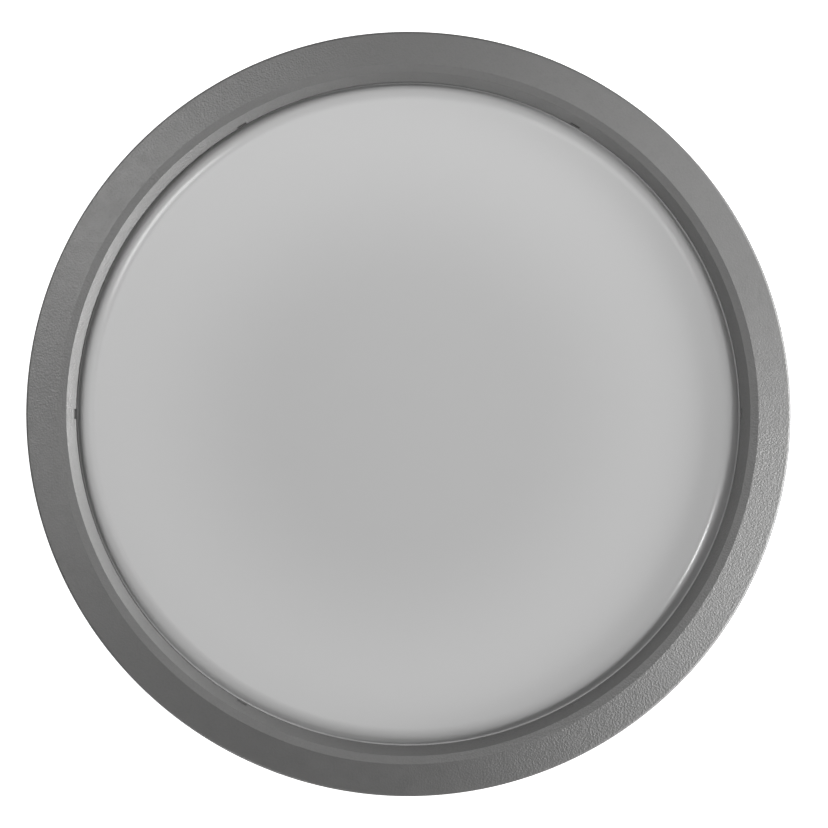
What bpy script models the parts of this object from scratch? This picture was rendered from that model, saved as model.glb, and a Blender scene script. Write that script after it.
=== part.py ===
"""Round bulkhead luminaire, 300 mm across: a grained trim ring around an opal diffuser, on a back pan.

The light lies on its back. The origin is the centre of the face that meets the wall, and +Z points out of
the diffuser. The trim ring has six lugs that turn under six helical ramps on the back pan, and six hooks
that carry the diffuser, so the ring unscrews anticlockwise and lifts the diffuser with it.
"""

import math

import bmesh
import bpy
from mathutils import Matrix, Vector

MM = 0.001
GAP = 0.3 * MM  # between pieces that touch
PAST = 1.0 * MM  # how far a cutter or a joined piece runs past the face it meets

# Trim ring
RING_RADIUS = 150.0 * MM
RING_WALL = 3.0 * MM
SKIRT_FOOT_Z = 27.3 * MM
SHOULDER_ROUND = 1.4 * MM
FACE_SLOPE = math.radians(16)
CREST_RADIUS = 136.9 * MM
CREST_Z = 58.6 * MM
LEDGE_RADIUS = 133.7 * MM
LEDGE_Z = 58.1 * MM
WALL_FOOT_RADIUS = 130.5 * MM
WALL_FOOT_Z = 52.8 * MM
LIP_Z = 49.2 * MM
LIP_LAND = 2.8 * MM
EDGE = 0.5 * MM
SIXTHS = [index * 60 for index in range(6)]
NOTCH_LENGTH = 4.0 * MM
NOTCH_DEPTH = 0.7 * MM
NOTCH_HEIGHT = 4.0 * MM
EDGE_FOOT = 0.8 * MM
RING_BACK = 2.7 * MM

# Diffuser
DIFFUSER_RADIUS = 130.0 * MM
DIFFUSER_RIM_ROUND = 7.0 * MM
DIFFUSER_RIM_TILT = 48.0
DIFFUSER_WALL = 2.3 * MM
DIFFUSER_RIM_Z = 53.2 * MM
DIFFUSER_CROWN = 1.2 * MM
FLANGE_RADIUS = 140.0 * MM
FLANGE_TOP_Z = LIP_Z - GAP
FLANGE_Z = FLANGE_TOP_Z - DIFFUSER_WALL

# Hooks on the ring that carry the diffuser's flange
HOOK_RADIUS = FLANGE_RADIUS + EDGE
HOOK_THICK = 2.0 * MM
HOOK_NOSE = 1.8 * MM
HOOK_WIDTH = 9.0 * MM
HOOK_DROP = 1.9 * MM
HOOK_Z = FLANGE_Z - HOOK_DROP
HOOK_LEAD = 0.6  # share of the nose left at its foot

# Back pan
PAN_INNER_RADIUS = 132.9 * MM
PAN_WALL = 3.1 * MM
PAN_FLOOR = 4.0 * MM
PAN_RIM_DROP = 0.9 * MM
PAN_RIM_Z = FLANGE_Z - PAN_RIM_DROP
PAN_RIM_RADIUS = 138.1 * MM
PAN_RIM_HEIGHT = 4.0 * MM
BODY_RADIUS = 146.0 * MM
BODY_TOP_Z = 26.0 * MM
BODY_WALL = 3.0 * MM
GROOVE_RADII = (134.0 * MM, 137.0 * MM)
GROOVE_DEPTH = 2.0 * MM
SEAL_RADII = (122.0 * MM, 127.0 * MM)
SEAL_DEPTH = 1.8 * MM
PAN_FILLET = 2.0 * MM
PAN_RIM_EASE = 1.0 * MM
BODY_EASE = 1.5 * MM
GASKET_LEAN = 0.5 * MM

# Quick-turn thread: the lugs ride under ramps of the same lead
THREAD_LEAD = 48.0 * MM
THREAD_THICK = 2.6 * MM
RAMP_RADIUS = 141.5 * MM
RAMP_ANGLES = (-5.5, 32.0)
LUG_RADIUS = 138.6 * MM
LUG_ANGLES = (-4.0, 4.0)
LUG_Z = 28.2 * MM
THREAD_PLAY = 0.4 * MM
THREAD_PHASE = 30.0

# Cable entries and wall fixings
ENTRY_RADIUS = 8.0 * MM
ENTRY_Z = 13.0 * MM
ENTRY_BOSS_RADIUS = 10.6 * MM
GROMMET_PLACE = (-40 * MM, 60 * MM)
GROMMET_RADIUS = 9.0 * MM
FIXING_RADIUS = 112.0 * MM
FIXING_ANGLES = (45, 165, 285)
FIXING_BOSS_Z = 6.0 * MM
FIXING_HOLE = 3.2 * MM
FIXING_BOSS_RADIUS = 7.0 * MM
ENTRY_REACH = 4.0 * MM
BUNG_HEAD_RADIUS = 6.2 * MM
BUNG_HEAD_DEPTH = 1.6 * MM
BUNG_HEAD_EASE = 0.8 * MM
BUNG_FOOT = 0.6 * MM
BUNG_DIMPLE = 0.4 * MM
BUNG_WELL_RADII = (1.8 * MM, 2.2 * MM)
BUNG_WELL_DEPTHS = (2.0 * MM, 2.4 * MM)
GROMMET_FOOT = 0.4 * MM
GROMMET_CUP_RADII = (4.5 * MM, 6.4 * MM)
GROMMET_CUP_TOP = 4.6 * MM
GROMMET_HEAD_RADII = (8.0 * MM, 11.6 * MM)
GROMMET_HEAD_HEIGHTS = (2.2 * MM, 1.6 * MM)
GROMMET_NOSE_RADII = (3.0 * MM, 5.0 * MM)
GROMMET_NOSE_HEIGHTS = (5.4 * MM, 5.0 * MM)
GROMMET_WELL_RADIUS = 2.6 * MM
GROMMET_WELL_HEIGHTS = (2.6 * MM, 3.0 * MM)

# Gear tray and its posts
TRAY_Z = 24.0 * MM
TRAY_SHEET = 1.2 * MM
TRAY_FLAT_RADIUS = 112.0 * MM
TRAY_RADIUS = 130.0 * MM
TRAY_RIM_Z = 36.0 * MM
POST_CIRCLE = 100.0 * MM
POST_ANGLES = (30, 150, 270)
POST_RADIUS = 4.6 * MM
POST_HOLE_DEPTH = 14.0 * MM
SMALL_POST_RADIUS = 3.6 * MM
SMALL_HOLE_FOOT = 2.0 * MM
SCREW_HOLE = 1.6 * MM
SCREW_SHANK = 1.3 * MM

# LED board
BOARD_RADII = (40.0 * MM, 92.0 * MM)
BOARD_Z = TRAY_Z + TRAY_SHEET + GAP
BOARD_THICK = 1.6 * MM
BOARD_SCREW_CIRCLE = 73.0 * MM
BOARD_SCREW_ANGLES = (15, 135, 255)
LED_ROWS = ((62.0 * MM, 10), (84.0 * MM, 14))
LED_SIDE = 3.0 * MM
LED_HEIGHT = 0.8 * MM

# Driver, terminal block, clamp and switch
DRIVER_PLACE = (0.0, -52 * MM)
DRIVER_SIZE = (96 * MM, 44 * MM, 15 * MM)
DRIVER_WALL = 1.6 * MM
DRIVER_LID = 1.6 * MM
DRIVER_EAR = 9.0 * MM
DRIVER_POST_Z = 7.0 * MM
TERMINAL_PLACE = (32 * MM, 60 * MM)
TERMINAL_SIZE = (22 * MM, 27 * MM, 15 * MM)
POLE_PITCH = 8.0 * MM
POLE_NAMES = ("line", "neutral", "earth")
WIRE_HOLE = 1.7 * MM
WIRE_HOLE_DEPTH = 6.0 * MM
BUTTON_SIZE = (5 * MM, 4 * MM, 6 * MM)
BUTTON_STAND = 2.0 * MM
CLAMP_PLACE = (-6 * MM, 60 * MM)
CLAMP_SPAN = 22.0 * MM
CLAMP_POST_Z = 10.0 * MM
SWITCH_PLACE = (-24 * MM, 0.0)
SWITCH_SIZE = (9 * MM, 20 * MM, 5 * MM)
SWITCH_KNOB = (3.2 * MM, 4 * MM, 5 * MM)
SWITCH_THROW = 2.5 * MM
CONNECTOR_PLACE = (49 * MM, 0.0)
CONNECTOR_SIZE = (10 * MM, 9 * MM, 4.5 * MM)
BUSH_RADIUS = 4.5 * MM
EARTH_CIRCLE = 104.0 * MM
EARTH_ANGLE = 8.0
WIRE_RADIUS = 0.9 * MM

# Facets round a full turn
LARGE_TURN = 60
MEDIUM_TURN = 48
ENTRY_TURN = 18
SMALL_TURN = 12
SCREW_TURN = 10


# ---------------------------------------------------------------- helpers


def clear_scene():
    for old in list(bpy.data.objects):
        bpy.data.objects.remove(old, do_unlink=True)


def material(name, color, roughness, metallic=0.0):
    made = bpy.data.materials.get(name)
    if made:
        return made
    made = bpy.data.materials.new(name)
    made.use_nodes = True
    shader = made.node_tree.nodes["Principled BSDF"]
    shader.inputs["Base Color"].default_value = (*color, 1.0)
    shader.inputs["Roughness"].default_value = roughness
    shader.inputs["Metallic"].default_value = metallic
    return made


def finish(name, mesh_data, look, location=(0.0, 0.0, 0.0)):
    """Turns mesh data into a named, smooth-shaded object with its material."""
    mesh = bpy.data.meshes.new(name)
    bmesh.ops.recalc_face_normals(mesh_data, faces=mesh_data.faces)
    mesh_data.to_mesh(mesh)
    mesh_data.free()
    mesh.materials.append(look)
    mesh.shade_smooth()
    mesh.set_sharp_from_angle(angle=math.radians(35))
    made = bpy.data.objects.new(name, mesh)
    made.location = location
    bpy.context.collection.objects.link(made)
    return made


def polar(radius, degrees, height=0.0):
    angle = math.radians(degrees)
    return Vector((radius * math.cos(angle), radius * math.sin(angle), height))


def arc(centre, radius, start, end, steps):
    """Points (radius, height) along an arc in a section, in degrees from the outward direction."""
    return [
        (
            centre[0] + radius * math.cos(math.radians(start + (end - start) * step / steps)),
            centre[1] + radius * math.sin(math.radians(start + (end - start) * step / steps)),
        )
        for step in range(steps + 1)
    ]


def add_turned(data, section, turn, closed=True):
    """Spins a section of (radius, height) points about Z; an open section starts and ends on the axis."""
    points = [data.verts.new((radius, 0.0, height)) for radius, height in section]
    edges = [data.edges.new(pair) for pair in zip(points, points[1:])]
    if closed:
        edges.append(data.edges.new((points[-1], points[0])))
    bmesh.ops.spin(
        data, geom=points + edges, axis=(0, 0, 1), cent=(0, 0, 0), angle=math.tau, steps=turn, use_merge=True
    )
    bmesh.ops.remove_doubles(data, verts=data.verts, dist=0.001 * MM)


def turned(name, section, look, turn=LARGE_TURN, closed=True, location=(0.0, 0.0, 0.0)):
    data = bmesh.new()
    add_turned(data, section, turn, closed)
    return finish(name, data, look, location)


def add_box(data, size, centre, heading=0.0, bevel=0.0):
    """A box whose local X turns to the heading, in degrees about Z, with its upright and top edges eased."""
    place = Matrix.Translation(centre) @ Matrix.Rotation(math.radians(heading), 4, "Z")
    made = bmesh.ops.create_cube(data, size=1.0)["verts"]
    bmesh.ops.scale(data, vec=size, verts=made)
    if bevel:
        edges = {edge for vert in made for edge in vert.link_edges}
        eased = bmesh.ops.bevel(
            data, geom=list(edges), offset=bevel, segments=1, affect="EDGES", profile=0.5
        )
        made = list({vert for face in eased["faces"] for vert in face.verts})
    bmesh.ops.transform(data, matrix=place, verts=made)


def block(name, size, centre, look, bevel=0.4 * MM, heading=0.0):
    data = bmesh.new()
    add_box(data, size, (0, 0, 0), heading, bevel)
    return finish(name, data, look, centre)


def add_drum(data, radius, low, high, place=(0.0, 0.0), turn=SMALL_TURN):
    bmesh.ops.create_cone(
        data,
        cap_ends=True,
        segments=turn,
        radius1=radius,
        radius2=radius,
        depth=high - low,
        matrix=Matrix.Translation((place[0], place[1], (low + high) / 2)),
    )


def add_side_drum(data, radius, start, end, turn=SMALL_TURN):
    """A drum between two points, whichever way it points."""
    along = Vector(end) - Vector(start)
    turned_to = along.to_track_quat("Z", "Y").to_matrix().to_4x4()
    place = Matrix.Translation((Vector(start) + Vector(end)) / 2) @ turned_to
    bmesh.ops.create_cone(
        data, cap_ends=True, segments=turn, radius1=radius, radius2=radius, depth=along.length, matrix=place
    )


def add_helical_bar(data, radii, angles, low, phase):
    """A bar of the quick-turn thread: a section swept up the helix, at height low where its angle is zero."""
    steps = max(2, round((angles[1] - angles[0]) / 2.5))
    rings = []
    for step in range(steps + 1):
        angle = angles[0] + (angles[1] - angles[0]) * step / steps
        base = low + THREAD_LEAD * angle / 360
        top = base + THREAD_THICK
        corners = [(radii[0], base), (radii[1], base), (radii[1], top), (radii[0], top)]
        rings.append([data.verts.new(polar(radius, angle + phase, height)) for radius, height in corners])
    for lower, upper in zip(rings, rings[1:]):
        for corner in range(4):
            following = (corner + 1) % 4
            data.faces.new((lower[corner], lower[following], upper[following], upper[corner]))
    data.faces.new(rings[0][::-1])
    data.faces.new(rings[-1])


def change(target, operation, data, label):
    """Joins or cuts the target with every body in the given mesh data, by a Boolean on a hidden tool."""
    tool = finish(f"{target.name}_{label}", data, target.data.materials[0])
    tool.hide_render = True
    tool.display_type = "WIRE"
    boolean = target.modifiers.new(label, "BOOLEAN")
    boolean.operation = operation
    boolean.object = tool
    boolean.solver = "EXACT"
    return target


def screw(name, place, seat, length, look, head_radius=3.2 * MM, head_height=2.0 * MM):
    """A pan-head screw whose head stands on the seat height, with a round drive recess."""
    recess = head_radius * 0.42
    section = [
        (0.0, seat - length),
        (SCREW_SHANK, seat - length + SCREW_SHANK),
        (SCREW_SHANK, seat),
        (head_radius, seat),
        (head_radius, seat + head_height * 0.45),
        (head_radius * 0.72, seat + head_height),
        (recess, seat + head_height),
        (0.0, seat + head_height * 0.35),
    ]
    return turned(name, section, look, SCREW_TURN, closed=False, location=(place[0], place[1], 0.0))


def tube(name, points, radius, look):
    """A wire: a polyline read from a smooth curve through the route's own points."""
    route = [Vector(point) for point in points]
    ends = [route[0] * 2 - route[1], *route, route[-1] * 2 - route[-2]]
    smooth = []
    steps = 2
    for index in range(1, len(ends) - 2):
        before, start, end, after = ends[index - 1 : index + 3]
        for step in range(steps):
            share = step / steps
            smooth.append(
                0.5
                * (
                    2 * start
                    + (end - before) * share
                    + (2 * before - 5 * start + 4 * end - after) * share**2
                    + (3 * start - before - 3 * end + after) * share**3
                )
            )
    smooth.append(route[-1])
    curve = bpy.data.curves.new(name, "CURVE")
    curve.dimensions = "3D"
    curve.bevel_depth = radius
    curve.bevel_resolution = 2
    curve.use_fill_caps = True
    curve.twist_mode = "MINIMUM"
    spline = curve.splines.new("POLY")
    spline.points.add(len(smooth) - 1)
    for slot, point in zip(spline.points, smooth):
        slot.co = (*point, 1.0)
    curve.materials.append(look)
    made = bpy.data.objects.new(name, curve)
    bpy.context.collection.objects.link(made)
    return made


# ---------------------------------------------------------------- materials


def grained_grey():
    return material("grained_grey", (0.24, 0.24, 0.238), 0.42, 0.35)


def opal():
    return material("opal", (0.62, 0.62, 0.62), 0.3)


def silicone():
    return material("silicone", (0.55, 0.55, 0.55), 0.6)


def foam():
    return material("foam", (0.03, 0.03, 0.03), 0.95)


def black_rubber():
    return material("black_rubber", (0.02, 0.02, 0.02), 0.7)


def white_sheet():
    return material("white_sheet", (0.85, 0.85, 0.84), 0.35)


def solder_mask():
    return material("solder_mask", (0.82, 0.83, 0.82), 0.45)


def green_board():
    return material("green_board", (0.02, 0.16, 0.06), 0.4)


def white_plastic():
    return material("white_plastic", (0.75, 0.75, 0.73), 0.4)


def black_plastic():
    return material("black_plastic", (0.025, 0.025, 0.027), 0.45)


def orange_plastic():
    return material("orange_plastic", (0.75, 0.22, 0.02), 0.4)


def plated_steel():
    return material("plated_steel", (0.62, 0.62, 0.6), 0.3, 1.0)


def tape_wrap():
    return material("tape_wrap", (0.75, 0.55, 0.05), 0.5)


def wire_cover(name, color):
    return material(name, color, 0.45)


# ---------------------------------------------------------------- cover


def cone_height(radius):
    """Height of the ring's sloping face at a radius."""
    return CREST_Z - (radius - CREST_RADIUS) * math.tan(FACE_SLOPE)


def trim_ring():
    tilt = math.degrees(math.pi / 2 - FACE_SLOPE)
    round_radius = RING_RADIUS - SHOULDER_ROUND
    touch = math.radians(tilt)
    round_z = cone_height(round_radius + SHOULDER_ROUND * math.cos(touch)) - SHOULDER_ROUND * math.sin(touch)
    inner_slope = RING_WALL / math.cos(FACE_SLOPE)
    back_top = LEDGE_Z - RING_WALL
    back_low = WALL_FOOT_RADIUS + LIP_LAND
    section = [
        (RING_RADIUS - RING_WALL, SKIRT_FOOT_Z),
        (RING_RADIUS - EDGE_FOOT, SKIRT_FOOT_Z),
        (RING_RADIUS, SKIRT_FOOT_Z + EDGE_FOOT),
        *arc((round_radius, round_z), SHOULDER_ROUND, 0, tilt, 3),
        (CREST_RADIUS + EDGE, cone_height(CREST_RADIUS + EDGE)),
        (LEDGE_RADIUS + EDGE * 0.4, LEDGE_Z),
        (LEDGE_RADIUS, LEDGE_Z - EDGE * 0.6),
        (WALL_FOOT_RADIUS, WALL_FOOT_Z),
        (WALL_FOOT_RADIUS, LIP_Z),
        (back_low, LIP_Z),
        (LEDGE_RADIUS + RING_BACK, back_top),
        (CREST_RADIUS + RING_BACK, cone_height(CREST_RADIUS + RING_BACK) - inner_slope),
        (RING_RADIUS - RING_WALL - 1 * MM, cone_height(RING_RADIUS - RING_WALL - 1 * MM) - inner_slope),
        (RING_RADIUS - RING_WALL, round_z - 1 * MM),
    ]
    ring = turned("trim_ring", section, grained_grey())
    change(ring, "UNION", ring_hooks(), "hooks")
    change(ring, "UNION", ring_lugs(), "lugs")
    change(ring, "DIFFERENCE", ring_notches(), "notches")
    return ring


def ring_hooks():
    """Six hooks that hang from the ring and reach under the diffuser's flange."""
    data = bmesh.new()
    top = cone_height(HOOK_RADIUS + HOOK_THICK) - RING_WALL / 2
    outline = [
        (HOOK_RADIUS, top),
        (HOOK_RADIUS, FLANGE_Z - GAP),
        (HOOK_RADIUS - HOOK_NOSE, FLANGE_Z - GAP),
        (HOOK_RADIUS - HOOK_NOSE * HOOK_LEAD, HOOK_Z),
        (HOOK_RADIUS + HOOK_THICK, HOOK_Z),
        (HOOK_RADIUS + HOOK_THICK, top),
    ]
    for heading in SIXTHS:
        turn = Matrix.Rotation(math.radians(heading), 4, "Z")
        sides = [
            [
                data.verts.new(turn @ Vector((radius, side * HOOK_WIDTH / 2, height)))
                for radius, height in outline
            ]
            for side in (-1, 1)
        ]
        for index in range(len(outline)):
            following = (index + 1) % len(outline)
            data.faces.new((sides[0][index], sides[0][following], sides[1][following], sides[1][index]))
        data.faces.new(sides[0][::-1])
        data.faces.new(sides[1])
    return data


def ring_lugs():
    data = bmesh.new()
    radii = (LUG_RADIUS, RING_RADIUS - RING_WALL / 2)
    for heading in SIXTHS:
        add_helical_bar(data, radii, LUG_ANGLES, LUG_Z, heading + THREAD_PHASE)
    return data


def ring_notches():
    """Small notches at the foot of the inner wall, one over each hook."""
    data = bmesh.new()
    for heading in SIXTHS:
        centre = polar(WALL_FOOT_RADIUS, heading, WALL_FOOT_Z)
        add_box(data, (NOTCH_DEPTH * 2, NOTCH_LENGTH, NOTCH_HEIGHT), centre, heading)
    return data


def diffuser_height(radius, edge_radius, edge_z):
    """Height of the gently crowned front at a radius."""
    return edge_z + DIFFUSER_CROWN * (1 - (radius / edge_radius) ** 2)


def diffuser():
    """A crowned front whose rounded rim runs down, at its full tilt, to a flange under the ring's lip."""
    tilt = math.radians(DIFFUSER_RIM_TILT)
    slope_height = DIFFUSER_RIM_Z - DIFFUSER_RIM_ROUND * (1 - math.cos(tilt)) - FLANGE_TOP_Z
    edge = DIFFUSER_RADIUS - DIFFUSER_RIM_ROUND * math.sin(tilt) - slope_height / math.tan(tilt)
    centre = (edge, DIFFUSER_RIM_Z - DIFFUSER_RIM_ROUND)
    shares = (0.0, 0.6)
    outer = [(edge * share, diffuser_height(edge * share, edge, DIFFUSER_RIM_Z)) for share in shares]
    inner = [(radius, height - DIFFUSER_WALL) for radius, height in outer]
    section = [
        *outer,
        *arc(centre, DIFFUSER_RIM_ROUND, 90, 90 - DIFFUSER_RIM_TILT, 4),
        (DIFFUSER_RADIUS, FLANGE_TOP_Z),
        (FLANGE_RADIUS, FLANGE_TOP_Z),
        (FLANGE_RADIUS, FLANGE_Z),
        (DIFFUSER_RADIUS - DIFFUSER_WALL * math.tan(tilt / 2), FLANGE_Z),
        *arc(centre, DIFFUSER_RIM_ROUND - DIFFUSER_WALL, 90 - DIFFUSER_RIM_TILT, 90, 3),
        *inner[::-1],
    ]
    return turned("diffuser", section, opal(), closed=False)


def diffuser_gasket():
    low = PAN_RIM_Z - GROOVE_DEPTH + GAP
    high = FLANGE_Z - GAP
    inside, outside = GROOVE_RADII[0] + GAP, GROOVE_RADII[1] - GAP
    section = [
        (inside, low),
        (outside, low),
        (outside, high - GASKET_LEAN),
        (inside, high),
    ]
    return turned("diffuser_gasket", section, silicone())


# ---------------------------------------------------------------- back pan


def base_housing():
    outer = PAN_INNER_RADIUS + PAN_WALL
    groove_in, groove_out = GROOVE_RADII
    floor_of_groove = PAN_RIM_Z - GROOVE_DEPTH
    section = [
        (0.0, 0.0),
        (SEAL_RADII[0], 0.0),
        (SEAL_RADII[0], SEAL_DEPTH),
        (SEAL_RADII[1], SEAL_DEPTH),
        (SEAL_RADII[1], 0.0),
        (outer, 0.0),
        (outer, BODY_TOP_Z - BODY_WALL),
        (BODY_RADIUS - BODY_WALL, BODY_TOP_Z - BODY_WALL),
        (BODY_RADIUS - BODY_WALL, 0.0),
        (BODY_RADIUS, 0.0),
        (BODY_RADIUS, BODY_TOP_Z - BODY_EASE),
        (BODY_RADIUS - BODY_EASE, BODY_TOP_Z),
        (outer, BODY_TOP_Z),
        (outer, PAN_RIM_Z - PAN_RIM_HEIGHT),
        (PAN_RIM_RADIUS, PAN_RIM_Z - PAN_RIM_HEIGHT + PAN_RIM_EASE),
        (PAN_RIM_RADIUS, PAN_RIM_Z),
        (groove_out, PAN_RIM_Z),
        (groove_out, floor_of_groove),
        (groove_in, floor_of_groove),
        (groove_in, PAN_RIM_Z),
        (PAN_INNER_RADIUS, PAN_RIM_Z),
        (PAN_INNER_RADIUS, PAN_FLOOR + PAN_FILLET),
        (PAN_INNER_RADIUS - PAN_FILLET, PAN_FLOOR),
        (0.0, PAN_FLOOR),
    ]
    pan = turned("base_housing", section, grained_grey(), closed=False)
    change(pan, "UNION", pan_ramps(), "ramps")
    change(pan, "UNION", pan_posts(), "posts")
    change(pan, "UNION", entry_bosses(), "entry_bosses")
    change(pan, "DIFFERENCE", pan_holes(), "holes")
    change(pan, "DIFFERENCE", entry_holes(), "entry_holes")
    return pan


def pan_ramps():
    """Six ramps that hold the ring's lugs down, one over each lug."""
    data = bmesh.new()
    inside = PAN_INNER_RADIUS + PAN_WALL - PAST
    low = LUG_Z + THREAD_THICK + THREAD_PLAY
    for heading in SIXTHS:
        add_helical_bar(data, (inside, RAMP_RADIUS), RAMP_ANGLES, low, heading + THREAD_PHASE)
    return data


def pan_posts():
    """Posts for the tray, the driver's ears and the cable clamp, and bosses round the wall-screw holes."""
    data = bmesh.new()
    for heading in POST_ANGLES:
        add_drum(data, POST_RADIUS, PAN_FLOOR - PAST, TRAY_Z - GAP, polar(POST_CIRCLE, heading))
    for place in driver_screw_places():
        add_drum(data, SMALL_POST_RADIUS, PAN_FLOOR - PAST, DRIVER_POST_Z, place)
    for place in clamp_screw_places():
        add_drum(data, SMALL_POST_RADIUS, PAN_FLOOR - PAST, CLAMP_POST_Z, place)
    for heading in FIXING_ANGLES:
        place = polar(FIXING_RADIUS, heading)
        add_drum(data, FIXING_BOSS_RADIUS, PAN_FLOOR - PAST, FIXING_BOSS_Z, place, ENTRY_TURN)
    return data


def pan_holes():
    data = bmesh.new()
    for heading in POST_ANGLES:
        add_drum(data, SCREW_HOLE, TRAY_Z - POST_HOLE_DEPTH, TRAY_Z + PAST, polar(POST_CIRCLE, heading))
    for place in driver_screw_places():
        add_drum(data, SCREW_HOLE, SMALL_HOLE_FOOT, DRIVER_POST_Z + PAST, place)
    for place in clamp_screw_places():
        add_drum(data, SCREW_HOLE, SMALL_HOLE_FOOT, CLAMP_POST_Z + PAST, place)
    for heading in FIXING_ANGLES:
        add_drum(data, FIXING_HOLE, -PAST, FIXING_BOSS_Z + PAST, polar(FIXING_RADIUS, heading))
    add_drum(data, GROMMET_RADIUS, -PAST, PAN_FLOOR + PAST, GROMMET_PLACE, ENTRY_TURN)
    return data


def entry_bosses():
    data = bmesh.new()
    for side in (-1, 1):
        start = (0, side * (PAN_INNER_RADIUS + EDGE), ENTRY_Z)
        end = (0, side * (BODY_RADIUS - PAST), ENTRY_Z)
        add_side_drum(data, ENTRY_BOSS_RADIUS, start, end, ENTRY_TURN)
    return data


def entry_holes():
    data = bmesh.new()
    for side in (-1, 1):
        start = (0, side * (PAN_INNER_RADIUS - ENTRY_REACH), ENTRY_Z)
        end = (0, side * (BODY_RADIUS + ENTRY_REACH), ENTRY_Z)
        add_side_drum(data, ENTRY_RADIUS, start, end, ENTRY_TURN)
    return data


def wall_seal():
    inside, outside = SEAL_RADII[0] + GAP, SEAL_RADII[1] - GAP
    high = SEAL_DEPTH - GAP
    section = [(inside, 0.0), (outside, 0.0), (outside, high), (inside, high)]
    return turned("wall_seal", section, foam())


def screw_seals():
    for number, heading in enumerate(FIXING_ANGLES, 1):
        seat = FIXING_BOSS_Z + GAP
        body = FIXING_HOLE - GAP
        top = seat + BUNG_HEAD_DEPTH
        well_inner, well_outer = BUNG_WELL_RADII
        well_edge, well_middle = BUNG_WELL_DEPTHS
        section = [
            (0.0, BUNG_FOOT + BUNG_DIMPLE),
            (body * 0.8, BUNG_FOOT),
            (body, BUNG_FOOT + BUNG_HEAD_EASE),
            (body, seat),
            (BUNG_HEAD_RADIUS, seat),
            (BUNG_HEAD_RADIUS, seat + 1.0 * MM),
            (BUNG_HEAD_RADIUS - BUNG_HEAD_EASE, top),
            (well_outer, top),
            (well_inner, seat - well_edge),
            (0.0, seat - well_middle),
        ]
        place = polar(FIXING_RADIUS, heading)
        turned(f"screw_seal_{number}", section, black_rubber(), SMALL_TURN, closed=False, location=place)


def entry_grommet():
    body = GROMMET_RADIUS - GAP
    seat = PAN_FLOOR + GAP
    cup_inner, cup_outer = GROMMET_CUP_RADII
    head_inner, head_outer = GROMMET_HEAD_RADII
    head_high, head_low = GROMMET_HEAD_HEIGHTS
    nose_inner, nose_outer = GROMMET_NOSE_RADII
    nose_high, nose_low = GROMMET_NOSE_HEIGHTS
    well_middle, well_edge = GROMMET_WELL_HEIGHTS
    section = [
        (0.0, GROMMET_CUP_TOP),
        (cup_inner, GROMMET_CUP_TOP),
        (cup_outer, GROMMET_FOOT),
        (body, GROMMET_FOOT),
        (body, seat),
        (head_outer, seat),
        (head_outer, seat + head_low),
        (head_inner, seat + head_high),
        (nose_outer, seat + nose_low),
        (nose_inner, seat + nose_high),
        (GROMMET_WELL_RADIUS, seat + well_edge),
        (0.0, seat + well_middle),
    ]
    place = (*GROMMET_PLACE, 0.0)
    return turned("entry_grommet", section, black_rubber(), ENTRY_TURN, closed=False, location=place)


def side_plugs():
    """Blanking plugs with a coin slot, one in each side entry."""
    for name, heading in (("side_plug_top", 90), ("side_plug_bottom", 270)):
        body = ENTRY_RADIUS - GAP
        head = BODY_RADIUS + GAP
        section = [
            (0.0, PAN_INNER_RADIUS + 3 * MM),
            (body - 1.6 * MM, PAN_INNER_RADIUS + 3 * MM),
            (body - 1.2 * MM, PAN_INNER_RADIUS),
            (body, PAN_INNER_RADIUS),
            (body, head),
            (10.4 * MM, head),
            (10.4 * MM, head + 1.6 * MM),
            (9.6 * MM, head + 2.4 * MM),
            (0.0, head + 2.4 * MM),
        ]
        data = bmesh.new()
        add_turned(data, section, ENTRY_TURN, closed=False)
        lay = Matrix.Rotation(math.radians(heading - 90), 4, "Z") @ Matrix.Rotation(math.radians(-90), 4, "X")
        bmesh.ops.transform(data, matrix=Matrix.Translation((0, 0, ENTRY_Z)) @ lay, verts=data.verts)
        plug = finish(name, data, grained_grey())
        slot = bmesh.new()
        add_box(slot, (2.4 * MM, 12 * MM, 2 * MM), polar(head + 2.4 * MM, heading, ENTRY_Z), heading)
        change(plug, "DIFFERENCE", slot, "coin_slot")


# ---------------------------------------------------------------- gear tray and LED board


def gear_tray():
    top = TRAY_Z + TRAY_SHEET
    section = [
        (0.0, TRAY_Z),
        (TRAY_FLAT_RADIUS, TRAY_Z),
        (TRAY_RADIUS - 0.8 * MM, TRAY_RIM_Z - TRAY_SHEET),
        (TRAY_RADIUS, TRAY_RIM_Z - TRAY_SHEET),
        (TRAY_RADIUS, TRAY_RIM_Z),
        (TRAY_RADIUS - 1.6 * MM, TRAY_RIM_Z),
        (TRAY_FLAT_RADIUS - 0.8 * MM, top),
        (0.0, top),
    ]
    tray = turned("gear_tray", section, white_sheet(), MEDIUM_TURN, closed=False)
    data = bmesh.new()
    low, high = TRAY_Z - 2 * MM, top + 2 * MM
    for heading in POST_ANGLES:
        add_drum(data, SCREW_HOLE + GAP, low, high, polar(POST_CIRCLE, heading))
    for heading in BOARD_SCREW_ANGLES:
        add_drum(data, SCREW_HOLE, low, high, polar(BOARD_SCREW_CIRCLE, heading))
    add_drum(data, SCREW_HOLE, low, high, polar(EARTH_CIRCLE, EARTH_ANGLE))
    add_drum(data, BUSH_RADIUS, low, high)
    return change(tray, "DIFFERENCE", data, "holes")


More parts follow.
